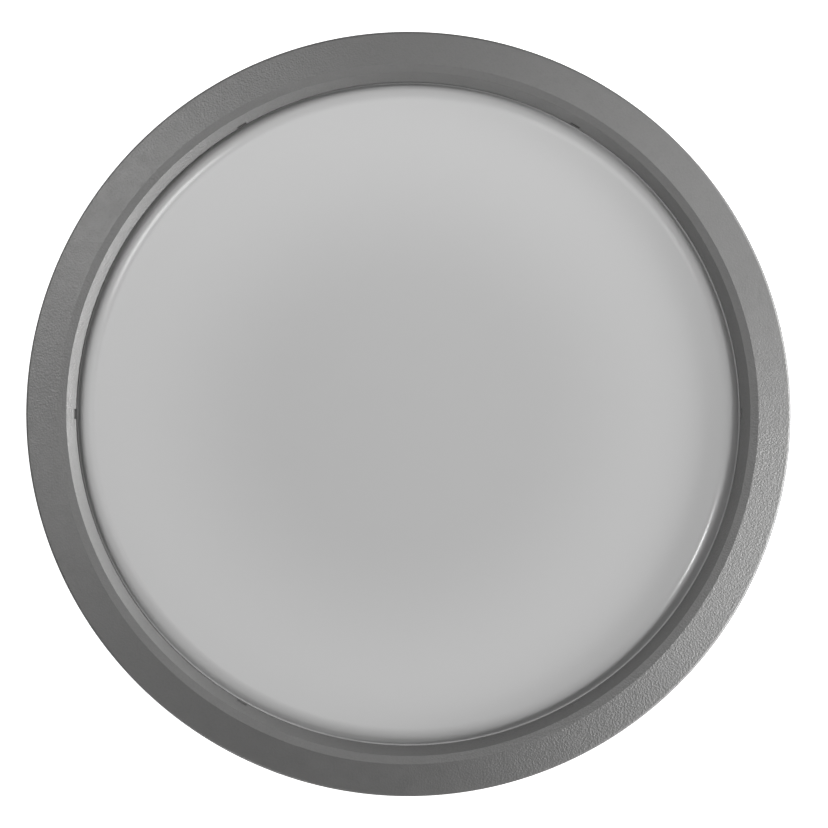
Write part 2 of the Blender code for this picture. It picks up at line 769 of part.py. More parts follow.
def led_board():
    """An annular board with its LED packages in two rings."""
    high = BOARD_Z + BOARD_THICK
    inside, outside = BOARD_RADII
    section = [(inside, BOARD_Z), (outside, BOARD_Z), (outside, high), (inside, high)]
    board = turned("led_board", section, solder_mask(), MEDIUM_TURN)
    leds = bmesh.new()
    for circle, count in LED_ROWS:
        for index in range(count):
            heading = 360 * (index + 0.5) / count
            centre = polar(circle, heading, high + LED_HEIGHT / 2 - 0.2 * MM)
            add_box(leds, (LED_SIDE, LED_SIDE, LED_HEIGHT + 0.4 * MM), centre, heading)
    change(board, "UNION", leds, "leds")
    holes = bmesh.new()
    for heading in BOARD_SCREW_ANGLES:
        add_drum(holes, SCREW_HOLE, BOARD_Z - 1 * MM, high + 1 * MM, polar(BOARD_SCREW_CIRCLE, heading))
    return change(board, "DIFFERENCE", holes, "holes")


def board_connector():
    """A two-pole push-in connector on the board's inner edge, with its wire holes facing the centre."""
    low = BOARD_Z + BOARD_THICK + GAP
    centre = (*CONNECTOR_PLACE, low + CONNECTOR_SIZE[2] / 2)
    body = block("board_connector", CONNECTOR_SIZE, centre, white_plastic())
    data = bmesh.new()
    face = CONNECTOR_PLACE[0] - CONNECTOR_SIZE[0] / 2
    for side in (-1, 1):
        y = side * CONNECTOR_SIZE[1] / 4
        add_side_drum(data, 1.4 * MM, (face - 2 * MM, y, centre[2]), (face + 4 * MM, y, centre[2]), 12)
    return change(body, "DIFFERENCE", data, "wire_holes")


def tray_bush():
    bore = 3.0 * MM
    neck = BUSH_RADIUS - GAP
    low, high = TRAY_Z - GAP, TRAY_Z + TRAY_SHEET + GAP
    section = [
        (bore, low - 1.4 * MM),
        (neck + 1.6 * MM, low - 1.4 * MM),
        (neck + 1.6 * MM, low),
        (neck, low),
        (neck, high),
        (neck + 1.6 * MM, high),
        (neck + 1.6 * MM, high + 0.8 * MM),
        (bore + 0.6 * MM, high + 1.4 * MM),
        (bore, high + 0.8 * MM),
    ]
    return turned("tray_bush", section, black_rubber(), SMALL_TURN)


def selector_switch():
    """The colour-temperature switch: a body with a channel, in which its knob slides along Y."""
    low = TRAY_Z + TRAY_SHEET + GAP
    centre = (*SWITCH_PLACE, low + SWITCH_SIZE[2] / 2)
    body = block("selector_switch", SWITCH_SIZE, centre, black_plastic())
    data = bmesh.new()
    channel = (SWITCH_KNOB[0] + 2 * GAP, SWITCH_KNOB[1] + 2 * SWITCH_THROW + 2 * GAP, 6 * MM)
    add_box(data, channel, (*SWITCH_PLACE, low + 1.6 * MM + channel[2] / 2))
    change(body, "DIFFERENCE", data, "channel")
    knob_centre = (*SWITCH_PLACE, low + 2.0 * MM + SWITCH_KNOB[2] / 2)
    block("selector_knob", SWITCH_KNOB, knob_centre, white_plastic())
    return body


# ---------------------------------------------------------------- driver


def driver_screw_places():
    reach = DRIVER_SIZE[0] / 2 + DRIVER_EAR / 2 + 0.5 * MM
    return [(DRIVER_PLACE[0] + side * reach, DRIVER_PLACE[1] - 10 * MM) for side in (-1, 1)]


def driver_ends():
    """The heights of the driver's underside and of the top of its open case."""
    return PAN_FLOOR + GAP, PAN_FLOOR + GAP + DRIVER_SIZE[2]


def driver_case():
    low, high = driver_ends()
    centre = (*DRIVER_PLACE, (low + high) / 2)
    case = block("driver_case", DRIVER_SIZE, centre, white_plastic(), 0.6 * MM)
    inside = bmesh.new()
    hollow = (DRIVER_SIZE[0] - 2 * DRIVER_WALL, DRIVER_SIZE[1] - 2 * DRIVER_WALL, DRIVER_SIZE[2])
    add_box(inside, hollow, (centre[0], centre[1], centre[2] + DRIVER_WALL))
    change(case, "DIFFERENCE", inside, "inside")
    ears = bmesh.new()
    for side, place in zip((-1, 1), driver_screw_places()):
        size = (DRIVER_EAR + 1 * MM, 8 * MM, 2 * MM)
        add_box(ears, size, (place[0] - side * 0.5 * MM, place[1], DRIVER_POST_Z + GAP + 1 * MM))
    change(case, "UNION", ears, "ears")
    holes = bmesh.new()
    for place in driver_screw_places():
        add_drum(holes, SCREW_HOLE, DRIVER_POST_Z - 1 * MM, DRIVER_POST_Z + 5 * MM, place)
    for end, y in lead_holes():
        x = DRIVER_PLACE[0] + end * DRIVER_SIZE[0] / 2
        height = low + 10 * MM
        add_side_drum(holes, WIRE_RADIUS + GAP, (x - 3 * MM, y, height), (x + 3 * MM, y, height), 12)
    return change(case, "DIFFERENCE", holes, "holes")


def lead_holes():
    """The end and Y of each lead hole: two for the mains at +X, two for the LEDs at -X."""
    return [(end, DRIVER_PLACE[1] + 8 * MM + side * 2.5 * MM) for end in (-1, 1) for side in (-1, 1)]


def driver_lid():
    high = driver_ends()[1]
    size = (DRIVER_SIZE[0], DRIVER_SIZE[1], DRIVER_LID)
    lid = block("driver_lid", size, (*DRIVER_PLACE, high + GAP + DRIVER_LID / 2), white_plastic())
    rib = bmesh.new()
    inner = DRIVER_WALL + GAP
    add_box(
        rib,
        (DRIVER_SIZE[0] - 2 * inner, DRIVER_SIZE[1] - 2 * inner, 1.6 * MM),
        (*DRIVER_PLACE, high + GAP - 0.4 * MM),
    )
    return change(lid, "UNION", rib, "register")


def driver_inside():
    low = driver_ends()[0] + DRIVER_WALL + 2 * MM
    size = (DRIVER_SIZE[0] - 8 * MM, DRIVER_SIZE[1] - 6 * MM, 1.6 * MM)
    block("driver_board", size, (*DRIVER_PLACE, low + size[2] / 2), green_board(), 0.0)
    top = low + size[2] + GAP
    x, y = DRIVER_PLACE
    transformer_place = (x + 4 * MM, y - 4 * MM, top + 3.3 * MM)
    block("driver_transformer", (20 * MM, 17 * MM, 6.6 * MM), transformer_place, tape_wrap())
    section = [
        (0.0, top),
        (4.6 * MM, top),
        (5.0 * MM, top + 0.8 * MM),
        (5.0 * MM, top + 6.0 * MM),
        (4.4 * MM, top + 6.6 * MM),
        (0.0, top + 6.6 * MM),
    ]
    place = (x + 26 * MM, y - 6 * MM, 0.0)
    turned("driver_capacitor", section, black_plastic(), SMALL_TURN, closed=False, location=place)


# ---------------------------------------------------------------- terminal block, clamp and earth


def pole_y(index):
    return TERMINAL_PLACE[1] + (1 - index) * POLE_PITCH


def terminal_block():
    low = PAN_FLOOR + GAP
    centre = (*TERMINAL_PLACE, low + TERMINAL_SIZE[2] / 2)
    body = block("terminal_block", TERMINAL_SIZE, centre, white_plastic(), 0.6 * MM)
    data = bmesh.new()
    top = low + TERMINAL_SIZE[2]
    pocket = (BUTTON_SIZE[0] + 2 * GAP, BUTTON_SIZE[1] + 2 * GAP, BUTTON_SIZE[2] * 2)
    for index in range(3):
        add_box(data, pocket, (TERMINAL_PLACE[0], pole_y(index), top - BUTTON_SIZE[2] + pocket[2] / 2))
        for side in (-1, 1):
            face = TERMINAL_PLACE[0] + side * TERMINAL_SIZE[0] / 2
            start = (face + side * 2 * MM, pole_y(index), low + 5 * MM)
            end = (face - side * WIRE_HOLE_DEPTH, pole_y(index), low + 5 * MM)
            add_side_drum(data, WIRE_HOLE, start, end, 12)
    change(body, "DIFFERENCE", data, "pockets")
    for index, pole in enumerate(POLE_NAMES):
        height = top + BUTTON_STAND - BUTTON_SIZE[2] / 2
        place = (TERMINAL_PLACE[0], pole_y(index), height)
        block(f"button_{pole}", BUTTON_SIZE, place, orange_plastic())
    return body


def clamp_screw_places():
    return [(CLAMP_PLACE[0], CLAMP_PLACE[1] + side * CLAMP_SPAN / 2) for side in (-1, 1)]


def cable_clamp():
    """A bar with a raised saddle, screwed to its two posts."""
    low = CLAMP_POST_Z + GAP
    span = CLAMP_SPAN + 8 * MM
    bar = block("cable_clamp", (8 * MM, span, 2.6 * MM), (*CLAMP_PLACE, low + 1.3 * MM), black_plastic())
    data = bmesh.new()
    add_box(data, (7 * MM, 10 * MM, 3 * MM), (*CLAMP_PLACE, low + 3 * MM), 0.0, 0.8 * MM)
    change(bar, "UNION", data, "saddle")
    holes = bmesh.new()
    for place in clamp_screw_places():
        add_drum(holes, SCREW_HOLE, low - 1 * MM, low + 5 * MM, place)
    return change(bar, "DIFFERENCE", holes, "holes")


def earth_bond():
    """The tray's earth: a screw down through the tray, a ring tag under the sheet, and a nut."""
    place = polar(EARTH_CIRCLE, EARTH_ANGLE)
    steel = plated_steel()
    screw("earth_screw", place, TRAY_Z + TRAY_SHEET + GAP, 9 * MM, steel)
    tag_high = TRAY_Z - GAP
    tag_low = tag_high - 0.8 * MM
    inside = SCREW_SHANK + GAP
    section = [(inside, tag_low), (3.6 * MM, tag_low), (3.6 * MM, tag_high), (inside, tag_high)]
    tag = turned("earth_tag", section, steel, location=place, turn=SMALL_TURN)
    barrel = bmesh.new()
    add_box(barrel, (9 * MM, 3 * MM, 0.8 * MM), (place[0] - 7 * MM, place[1], (tag_low + tag_high) / 2))
    change(tag, "UNION", barrel, "barrel")
    nut_high = tag_low - GAP
    nut_low = nut_high - 2.4 * MM
    nut = [(inside, nut_low), (3.2 * MM, nut_low), (3.2 * MM, nut_high), (inside, nut_high)]
    turned("earth_nut", nut, steel, location=place, turn=6)


def screws():
    steel = plated_steel()
    tray_seat = TRAY_Z + TRAY_SHEET + GAP
    for number, heading in enumerate(POST_ANGLES, 1):
        screw(f"tray_screw_{number}", polar(POST_CIRCLE, heading), tray_seat, 12 * MM, steel)
    board_seat = BOARD_Z + BOARD_THICK + GAP
    for number, heading in enumerate(BOARD_SCREW_ANGLES, 1):
        place = polar(BOARD_SCREW_CIRCLE, heading)
        screw(f"board_screw_{number}", place, board_seat, 6 * MM, steel, 2.8 * MM, 1.6 * MM)
    for number, place in enumerate(driver_screw_places(), 1):
        screw(f"driver_screw_{number}", place, DRIVER_POST_Z + 2 * MM + 2 * GAP, 6 * MM, steel)
    for number, place in enumerate(clamp_screw_places(), 1):
        screw(f"clamp_screw_{number}", place, CLAMP_POST_Z + 2.6 * MM + 2 * GAP, 9 * MM, steel)


# ---------------------------------------------------------------- internal wires


def wires():
    """Mains leads from the terminal block to the driver, the earth lead, and the LED leads up the bush."""
    block_face = TERMINAL_PLACE[0] + TERMINAL_SIZE[0] / 2
    block_z = PAN_FLOOR + GAP + 5 * MM
    driver_z = driver_ends()[0] + 10 * MM
    ends = {end: [y for side, y in lead_holes() if side == end] for end in (-1, 1)}
    driver_x = DRIVER_PLACE[0] + DRIVER_SIZE[0] / 2
    for index, (name, color) in enumerate((("line", (0.16, 0.06, 0.03)), ("neutral", (0.02, 0.09, 0.5)))):
        y = pole_y(index)
        far = ends[1][index]
        spread = index * 4 * MM
        route = [
            (block_face - 4 * MM, y, block_z),
            (block_face + 4 * MM, y, block_z),
            (76 * MM - spread, y - 10 * MM, 8 * MM),
            (80 * MM - spread, 22 * MM, 6.4 * MM),
            (80 * MM - spread, -14 * MM, 7 * MM),
            (74 * MM - spread, far + 14 * MM, 11 * MM),
            (62 * MM - spread, far + 2 * MM, driver_z),
            (driver_x + 4 * MM, far, driver_z),
            (driver_x - 1 * MM, far, driver_z),
        ]
        tube(f"wire_{name}", route, WIRE_RADIUS, wire_cover(f"{name}_cover", color))
    tag = polar(EARTH_CIRCLE, EARTH_ANGLE)
    tag_z = TRAY_Z - GAP - 0.4 * MM
    route = [
        (block_face - 4 * MM, pole_y(2), block_z),
        (block_face + 5 * MM, pole_y(2), block_z),
        (60 * MM, 46 * MM, 12 * MM),
        (74 * MM, 30 * MM, 17 * MM),
        (84 * MM, 18 * MM, tag_z - 1.6 * MM),
        (tag.x - 11 * MM, tag.y, tag_z - 1.6 * MM),
    ]
    tube("wire_earth", route, WIRE_RADIUS, wire_cover("earth_cover", (0.12, 0.4, 0.05)))
    connector_face = CONNECTOR_PLACE[0] - CONNECTOR_SIZE[0] / 2
    connector_z = BOARD_Z + BOARD_THICK + GAP + CONNECTOR_SIZE[2] / 2
    driver_x = DRIVER_PLACE[0] - DRIVER_SIZE[0] / 2
    for side, name, color in ((1, "led_plus", (0.5, 0.02, 0.02)), (-1, "led_minus", (0.02, 0.02, 0.02))):
        start = ends[-1][0 if side > 0 else 1]
        outside = 1.6 * MM * (1 + side)
        y = side * CONNECTOR_SIZE[1] / 4
        route = [
            (driver_x + 1 * MM, start, driver_z),
            (driver_x - 4 * MM, start, driver_z),
            (driver_x - 7 * MM - outside, start + 5 * MM, driver_z - 1 * MM),
            (driver_x - 5 * MM - outside, -22 * MM + side * 1.6 * MM, 11 * MM),
            (-30 * MM, -12 * MM + side * 1.8 * MM, 11 * MM),
            (-9 * MM, -2 * MM + side * 1.6 * MM, 13 * MM),
            (0.0, side * 1.3 * MM, TRAY_Z),
            (5 * MM, side * 1.3 * MM, TRAY_Z + 8 * MM),
            (20 * MM, side * 2.0 * MM, TRAY_Z + 9 * MM),
            (34 * MM, y, connector_z + 0.6 * MM),
            (connector_face - 3 * MM, y, connector_z),
            (connector_face + 2.5 * MM, y, connector_z),
        ]
        tube(f"wire_{name}", route, WIRE_RADIUS, wire_cover(f"{name}_cover", color))


def even_shading():
    """Lets the large faces set the shading of every object that a Boolean has changed."""
    for made in bpy.data.objects:
        if made.modifiers and not made.hide_render:
            weighted = made.modifiers.new("even_shading", "WEIGHTED_NORMAL")
            weighted.keep_sharp = True


def main():
    clear_scene()
    base_housing()
    wall_seal()
    screw_seals()
    entry_grommet()
    side_plugs()
    gear_tray()
    led_board()
    board_connector()
    tray_bush()
    selector_switch()
    driver_case()
    driver_lid()
    driver_inside()
    terminal_block()
    cable_clamp()
    earth_bond()
    screws()
    wires()
    diffuser_gasket()
    diffuser()
    trim_ring()
    even_shading()


main()
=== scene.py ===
"""Looks of a round bulkhead light: a grained silver-grey trim ring round an opal diffuser, on a back pan.

Lengths are in metres, in the CAD model's frame: the light lies on its back, +Z points out of the diffuser,
and the origin is the centre of the face that meets the wall.
"""

import math

import bmesh
import bpy
from mathutils import Matrix, Vector

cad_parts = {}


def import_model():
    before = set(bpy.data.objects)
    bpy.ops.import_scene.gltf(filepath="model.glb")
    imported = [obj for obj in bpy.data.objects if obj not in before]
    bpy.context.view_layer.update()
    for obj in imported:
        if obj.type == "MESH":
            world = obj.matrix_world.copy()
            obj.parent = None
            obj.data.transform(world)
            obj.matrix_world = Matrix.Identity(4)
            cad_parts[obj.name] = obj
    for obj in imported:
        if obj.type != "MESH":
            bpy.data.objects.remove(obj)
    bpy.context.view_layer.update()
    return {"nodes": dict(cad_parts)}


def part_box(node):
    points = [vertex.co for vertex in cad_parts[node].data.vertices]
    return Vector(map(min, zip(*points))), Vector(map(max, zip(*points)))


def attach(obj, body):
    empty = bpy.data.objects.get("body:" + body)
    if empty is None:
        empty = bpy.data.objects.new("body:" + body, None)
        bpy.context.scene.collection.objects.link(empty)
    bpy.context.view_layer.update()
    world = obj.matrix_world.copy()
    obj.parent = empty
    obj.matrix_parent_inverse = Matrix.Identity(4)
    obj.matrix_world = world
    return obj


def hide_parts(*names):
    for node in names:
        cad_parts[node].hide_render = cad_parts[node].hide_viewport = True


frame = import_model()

MM = 0.001
WHITE = (1, 1, 1)
GAP = 0.3 * MM
PAST = 1.0 * MM
SIXTHS = [60 * index for index in range(6)]

# Trim ring
RING_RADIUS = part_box("trim_ring")[1].x
RING_WALL = 3.0 * MM
RING_BACK = RING_WALL * 0.9
SKIRT_FOOT_Z = 27.3 * MM
SKIRT_EASE = 0.8 * MM
SHOULDER_ROUND = 1.4 * MM
FACE_SLOPE = math.radians(16)
CREST_RADIUS = 136.9 * MM
CREST_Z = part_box("trim_ring")[1].z
LEDGE_RADIUS = 133.7 * MM
LEDGE_Z = 58.1 * MM
WALL_FOOT_RADIUS = 130.5 * MM
WALL_FOOT_Z = 52.8 * MM
LIP_Z = 49.2 * MM
LIP_LAND = 2.8 * MM
NOTCH_LENGTH = 4.0 * MM
NOTCH_DEPTH = 0.7 * MM
NOTCH_HEIGHT = 2.0 * MM

# Diffuser
DIFFUSER_RADIUS = 130.0 * MM
DIFFUSER_RIM_ROUND = 7.0 * MM
DIFFUSER_RIM_TILT = 48.0
DIFFUSER_WALL = 2.3 * MM
DIFFUSER_RIM_Z = 53.2 * MM
DIFFUSER_CROWN = 1.2 * MM
FLANGE_RADIUS = 140.0 * MM
FLANGE_TOP_Z = LIP_Z - GAP
FLANGE_Z = FLANGE_TOP_Z - DIFFUSER_WALL

# Hooks on the ring, and the quick-turn thread
HOOK_RADIUS = 140.5 * MM
HOOK_THICK = 2.0 * MM
HOOK_NOSE = 1.8 * MM
HOOK_WIDTH = 9.0 * MM
HOOK_DROP = 1.9 * MM
THREAD_LEAD = 48.0 * MM
THREAD_THICK = 2.6 * MM
THREAD_PHASE = 30.0
LUG_RADIUS = 138.6 * MM
LUG_Z = 28.2 * MM
LUG_ANGLES = (-4.0, 4.0)
RAMP_RADIUS = 141.5 * MM
RAMP_Z = 31.2 * MM
RAMP_ANGLES = (-5.5, 32.0)

# Back pan
PAN_INNER_RADIUS = 132.9 * MM
PAN_OUTER_RADIUS = 136.0 * MM
PAN_FLOOR = 4.0 * MM
PAN_RIM_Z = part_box("base_housing")[1].z
PAN_RIM_RADIUS = 138.1 * MM
PAN_RIM_HEIGHT = 4.0 * MM
BODY_RADIUS = 146.0 * MM
BODY_TOP_Z = 26.0 * MM
BODY_WALL = 3.0 * MM
GROOVE_RADII = (134.0 * MM, 137.0 * MM)
GROOVE_DEPTH = 2.0 * MM
SEAL_RADII = (122.0 * MM, 127.0 * MM)
SEAL_DEPTH = 1.8 * MM
ENTRY_Z = 13.0 * MM
ENTRY_RADIUS = 8.0 * MM
ENTRY_BOSS_RADIUS = 10.6 * MM
GROMMET_PLACE = (-40 * MM, 60 * MM)
GROMMET_RADIUS = 9.0 * MM
FIXING_CIRCLE = 112.0 * MM
FIXING_ANGLES = (45, 165, 285)
FIXING_HOLE = 3.2 * MM
FIXING_BOSS_Z = 6.0 * MM
FIXING_BOSS_RADIUS = 7.0 * MM
SCREW_HOLE = 1.6 * MM
EJECTOR_RADIUS = 3.0 * MM
EJECTOR_DEPTH = 0.25 * MM
EJECTORS = [(88, angle) for angle in (0, 72, 144, 200, 250, 310)] + [(30, 100), (30, 230), (60, 180)]
PLUG_HEAD_RADIUS = 10.4 * MM
PLUG_HEAD_DEPTH = 2.4 * MM
PLUG_FLUTES = 24

# Gear tray, LED board and what stands on the pan's floor
TRAY_Z = 24.0 * MM
TRAY_SHEET = 1.2 * MM
POST_CIRCLE = 100.0 * MM
POST_ANGLES = (30, 150, 270)
POST_RADIUS = 4.6 * MM
POST_HOLE_DEPTH = 14 * MM
BOARD_SCREW_CIRCLE = 73.0 * MM
BOARD_SCREW_ANGLES = (15, 135, 255)
BOARD_RADII = (40.0 * MM, 92.0 * MM)
BOARD_THICK = 1.6 * MM
LED_ROWS = ((62.0 * MM, 10), (84.0 * MM, 14))
LED_SIDE = 3.0 * MM
LED_HEIGHT = 0.8 * MM
TRAY_FLAT_RADIUS = 112.0 * MM
BEAD_RADII = (105.2 * MM, 107.4 * MM)
BEAD_HEIGHT = 0.5 * MM
BUSH_RADIUS = 4.2 * MM
BUSH_BORE = 3.0 * MM
POLES = ("line", "neutral", "earth")
WIRE_RADIUS = 0.9 * MM
SMALL_POST = 3.6 * MM
SMALL_HOLE_FOOT = 2.0 * MM
DRIVER_POST_Z = 7.0 * MM
DRIVER_WALL = 1.6 * MM
DRIVER_EAR_RADIUS = 4.0 * MM
DRIVER_EAR_THICK = 2.0 * MM
DRIVER_LEAD_Y = 8.0 * MM
DRIVER_LEAD_Z = 10.0 * MM
LEAD_SPACING = 2.5 * MM
CLAMP_POST_Z = 10.0 * MM
CLAMP_BAR = 2.6 * MM
POLE_PITCH = 8.0 * MM
TERMINAL_LEAD_Z = 5.0 * MM
TAG_RADIUS = 3.6 * MM
NUT_RADIUS = 3.2 * MM

# Sides of the turned pieces, and the angle past which an edge stays sharp
FINE_TURN = 360
PAN_TURN = 240
TRAY_TURN = 180
PLUG_TURN = 72
BORE_TURN = 64
CAP_TURN = 48
SMALL_TURN = 40
PIN_TURN = 24
SHARP = 35

# Studio
CAMERA_DISTANCE = 1.2
CAMERA_WIDTH = 325.0 * MM
CAMERA_SHIFT = 2.2 * MM
OUTLINE_Z = 53.2 * MM
LAMP_DISTANCE = 1.6
LAMP_AIM_Z = 50.0 * MM


# ---------------------------------------------------------------- shapes


def polar(radius, degrees, height=0.0):
    angle = math.radians(degrees)
    return Vector((radius * math.cos(angle), radius * math.sin(angle), height))


def placed(place, heading=0.0):
    """A matrix that turns about Z and then moves to the place."""
    return Matrix.Translation(Vector((*place, 0.0)[:3])) @ Matrix.Rotation(math.radians(heading), 4, "Z")


def pointed(start, end):
    """A matrix that takes the Z axis to the line from start to end."""
    along = Vector(end) - Vector(start)
    return Matrix.Translation(start) @ along.to_track_quat("Z", "Y").to_matrix().to_4x4()


def middle(node):
    """The centre and the size of a CAD node."""
    low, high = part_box(node)
    return (low + high) / 2, high - low


def eased(corners, steps=4):
    """A section's points, from (radius, height, easing) corners rounded by arcs of that easing."""
    points = []
    for index, (radius, height, easing) in enumerate(corners):
        corner = Vector((radius, height))
        if not easing:
            points.append(corner)
            continue
        back = Vector(corners[index - 1][:2]) - corner
        ahead = Vector(corners[(index + 1) % len(corners)][:2]) - corner
        half = back.angle(ahead) / 2
        reach = min(easing / math.tan(half), back.length * 0.48, ahead.length * 0.48)
        bisector = (back.normalized() + ahead.normalized()).normalized()
        centre = corner + bisector * (reach / math.cos(half))
        start = corner + back.normalized() * reach - centre
        sweep = start.angle_signed(corner + ahead.normalized() * reach - centre)
        for step in range(steps + 1):
            points.append(centre + Matrix.Rotation(-sweep * step / steps, 2) @ start)
    return points


def add_turned(data, section, turn=SMALL_TURN, closed=False, place=None):
    """Turns a section about Z, then places it; an open section starts and ends on the axis."""
    before = set(data.verts)

    def added():
        return [vert for vert in data.verts if vert not in before]

    points = [data.verts.new((radius, 0.0, height)) for radius, height in section]
    edges = [data.edges.new(pair) for pair in zip(points, points[1:])]
    if closed:
        edges.append(data.edges.new((points[-1], points[0])))
    bmesh.ops.spin(
        data, geom=points + edges, axis=(0, 0, 1), cent=(0, 0, 0), angle=math.tau, steps=turn, use_merge=True
    )
    bmesh.ops.remove_doubles(data, verts=added(), dist=0.0005 * MM)
    if place:
        bmesh.ops.transform(data, matrix=place, verts=added())


def add_drum(data, radius, low, high, place=None, ease=0.0, foot=0.0, turn=SMALL_TURN):
    """A round post, eased at its top; with a foot it flares out into the floor it stands on."""
    corners = [(0, low, 0), (radius + foot, low, 0)]
    if foot:
        corners += [(radius + foot, low + foot * 0.05, 0), (radius, low + foot, foot)]
    corners += [(radius, high, ease), (0, high, 0)]
    add_turned(data, eased(corners), turn, place=place)


def add_bore(data, radius, low, high, place=None, mouth=0.3 * MM, turn=SMALL_TURN):
    """A cutter for a round hole whose upper mouth is chamfered."""
    flare = radius + mouth + PAST
    section = [(0, low), (radius, low), (radius, high - mouth), (flare, high + PAST), (0, high + PAST)]
    add_turned(data, section, turn, place=place)


def add_block(data, size, centre, ease=0.4 * MM, heading=0.0, steps=3):
    """A box with rounded edges."""
    made = bmesh.ops.create_cube(data, size=1.0)["verts"]
    bmesh.ops.scale(data, vec=size, verts=made)
    if ease:
        edges = list({edge for vert in made for edge in vert.link_edges})
        rounded = bmesh.ops.bevel(data, geom=edges, offset=ease, segments=steps, affect="EDGES", profile=0.5)
        made = list({vert for face in rounded["faces"] for vert in face.verts})
    bmesh.ops.transform(data, matrix=placed(centre, heading), verts=made)


def add_skin(data, outlines):
    """A closed skin through equal outlines of points, capped by the first and the last."""
    rings = [[data.verts.new(point) for point in outline] for outline in outlines]
    for near, far in zip(rings, rings[1:]):
        for index in range(len(near)):
            after = (index + 1) % len(near)
            data.faces.new((near[index], near[after], far[after], far[index]))
    data.faces.new(rings[0][::-1])
    data.faces.new(rings[-1])


def add_helical_bar(data, radii, angles, low, phase):
    """A bar of the quick-turn thread, swept up the helix; low is its height at angle zero."""
    ease = 0.35 * MM
    inner, outer = radii
    corners = [(inner, 0, 0), (outer, 0, ease), (outer, THREAD_THICK, ease), (inner, THREAD_THICK, 0)]
    outline = eased(corners, 3)
    steps = round(angles[1] - angles[0])
    rings = []
    for step in range(steps + 1):
        angle = angles[0] + (angles[1] - angles[0]) * step / steps
        rise = low + THREAD_LEAD * angle / 360
        rings.append([polar(radius, angle + phase, rise + height) for radius, height in outline])
    add_skin(data, rings)


def new_object(name, data, look, sharp=SHARP):
    mesh = bpy.data.meshes.new(name)
    bmesh.ops.recalc_face_normals(data, faces=data.faces)
    data.to_mesh(mesh)
    data.free()
    mesh.materials.append(look)
    mesh.shade_smooth()
    mesh.set_sharp_from_angle(angle=math.radians(sharp))
    made = bpy.data.objects.new(name, mesh)
    bpy.context.collection.objects.link(made)
    return made


def block_object(name, size, centre, ease, look, steps=3):
    """A piece that starts as one box with rounded edges."""
    data = bmesh.new()
    add_block(data, size, centre, ease, steps=steps)
    return new_object(name, data, look)


def turned_object(name, corners, look, turn, place=None, steps=4):
    """A solid turned from eased corners, whose section starts and ends on the axis."""
    data = bmesh.new()
    add_turned(data, eased(corners, steps), turn, place=place)
    return new_object(name, data, look)


def carve(made, operation, data, crossing=False):
    """Joins or cuts a piece with all bodies in the mesh data, which may cross each other if so stated."""
    tool = new_object(f"{made.name}_tool", data, made.data.materials[0])
    boolean = made.modifiers.new("carve", "BOOLEAN")
    boolean.operation = operation
    boolean.object = tool
    boolean.solver = "EXACT"
    boolean.use_self = crossing
    result = bpy.data.meshes.new_from_object(made.evaluated_get(bpy.context.evaluated_depsgraph_get()))
    made.modifiers.clear()
    made.data = result
    result.shade_smooth()
    result.set_sharp_from_angle(angle=math.radians(SHARP))
    bpy.data.objects.remove(tool)


def settle(made, body, slot, *nodes):
    """Puts a finished piece on its CAD body, in the place of its CAD nodes."""
    even = made.modifiers.new("even_shading", "WEIGHTED_NORMAL")
    even.keep_sharp = True
    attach(made, body)
    if nodes:
        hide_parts(*nodes)


# ---------------------------------------------------------------- materials


def shader_of(name):
    """A new material with its links and its shader."""
    look = bpy.data.materials.new(name)
    look.use_nodes = True
    return look, look.node_tree.links, look.node_tree.nodes["Principled BSDF"]


def texture(look, kind, scale, feature=None, **inputs):
    """A procedural texture over the piece's own coordinates; scale is features for each metre."""
    nodes, links = look.node_tree.nodes, look.node_tree.links
    place = nodes.get("place")
    if not place:
        place = nodes.new("ShaderNodeTexCoord")
        place.name = "place"
    made = nodes.new(kind)
    if feature:
        made.feature = feature
    links.new(place.outputs["Object"], made.inputs["Vector"])
    made.inputs["Scale"].default_value = scale
    for key, value in inputs.items():
        made.inputs[key].default_value = value
    return made


def spread(look, source, low, high, start=0.3, end=0.7):
    """Maps a texture's values from start..end to low..high."""
    made = look.node_tree.nodes.new("ShaderNodeMapRange")
    made.interpolation_type = "SMOOTHSTEP"
    look.node_tree.links.new(source, made.inputs["Value"])
    for key, value in (("From Min", start), ("From Max", end), ("To Min", low), ("To Max", high)):
        made.inputs[key].default_value = value
    return made.outputs["Result"]


def blend_tones(look, share, first, second):
    made = look.node_tree.nodes.new("ShaderNodeMix")
    made.data_type = "RGBA"
    look.node_tree.links.new(share, made.inputs[0])
    for socket, tone in ((made.inputs[6], first), (made.inputs[7], second)):
        if hasattr(tone, "is_output"):
            look.node_tree.links.new(tone, socket)
        else:
            socket.default_value = (*tone, 1)
    return made.outputs[2]


def relief(look, height, depth, under=None):
    """Raises the surface by the height, up to the depth, over any relief beneath it."""
    made = look.node_tree.nodes.new("ShaderNodeBump")
    made.inputs["Strength"].default_value = 1.0
    made.inputs["Distance"].default_value = depth
    look.node_tree.links.new(height, made.inputs["Height"])
    if under:
        look.node_tree.links.new(under, made.inputs["Normal"])
    return made.outputs["Normal"]


def shade(tone, share):
    return tuple(channel * share for channel in tone)


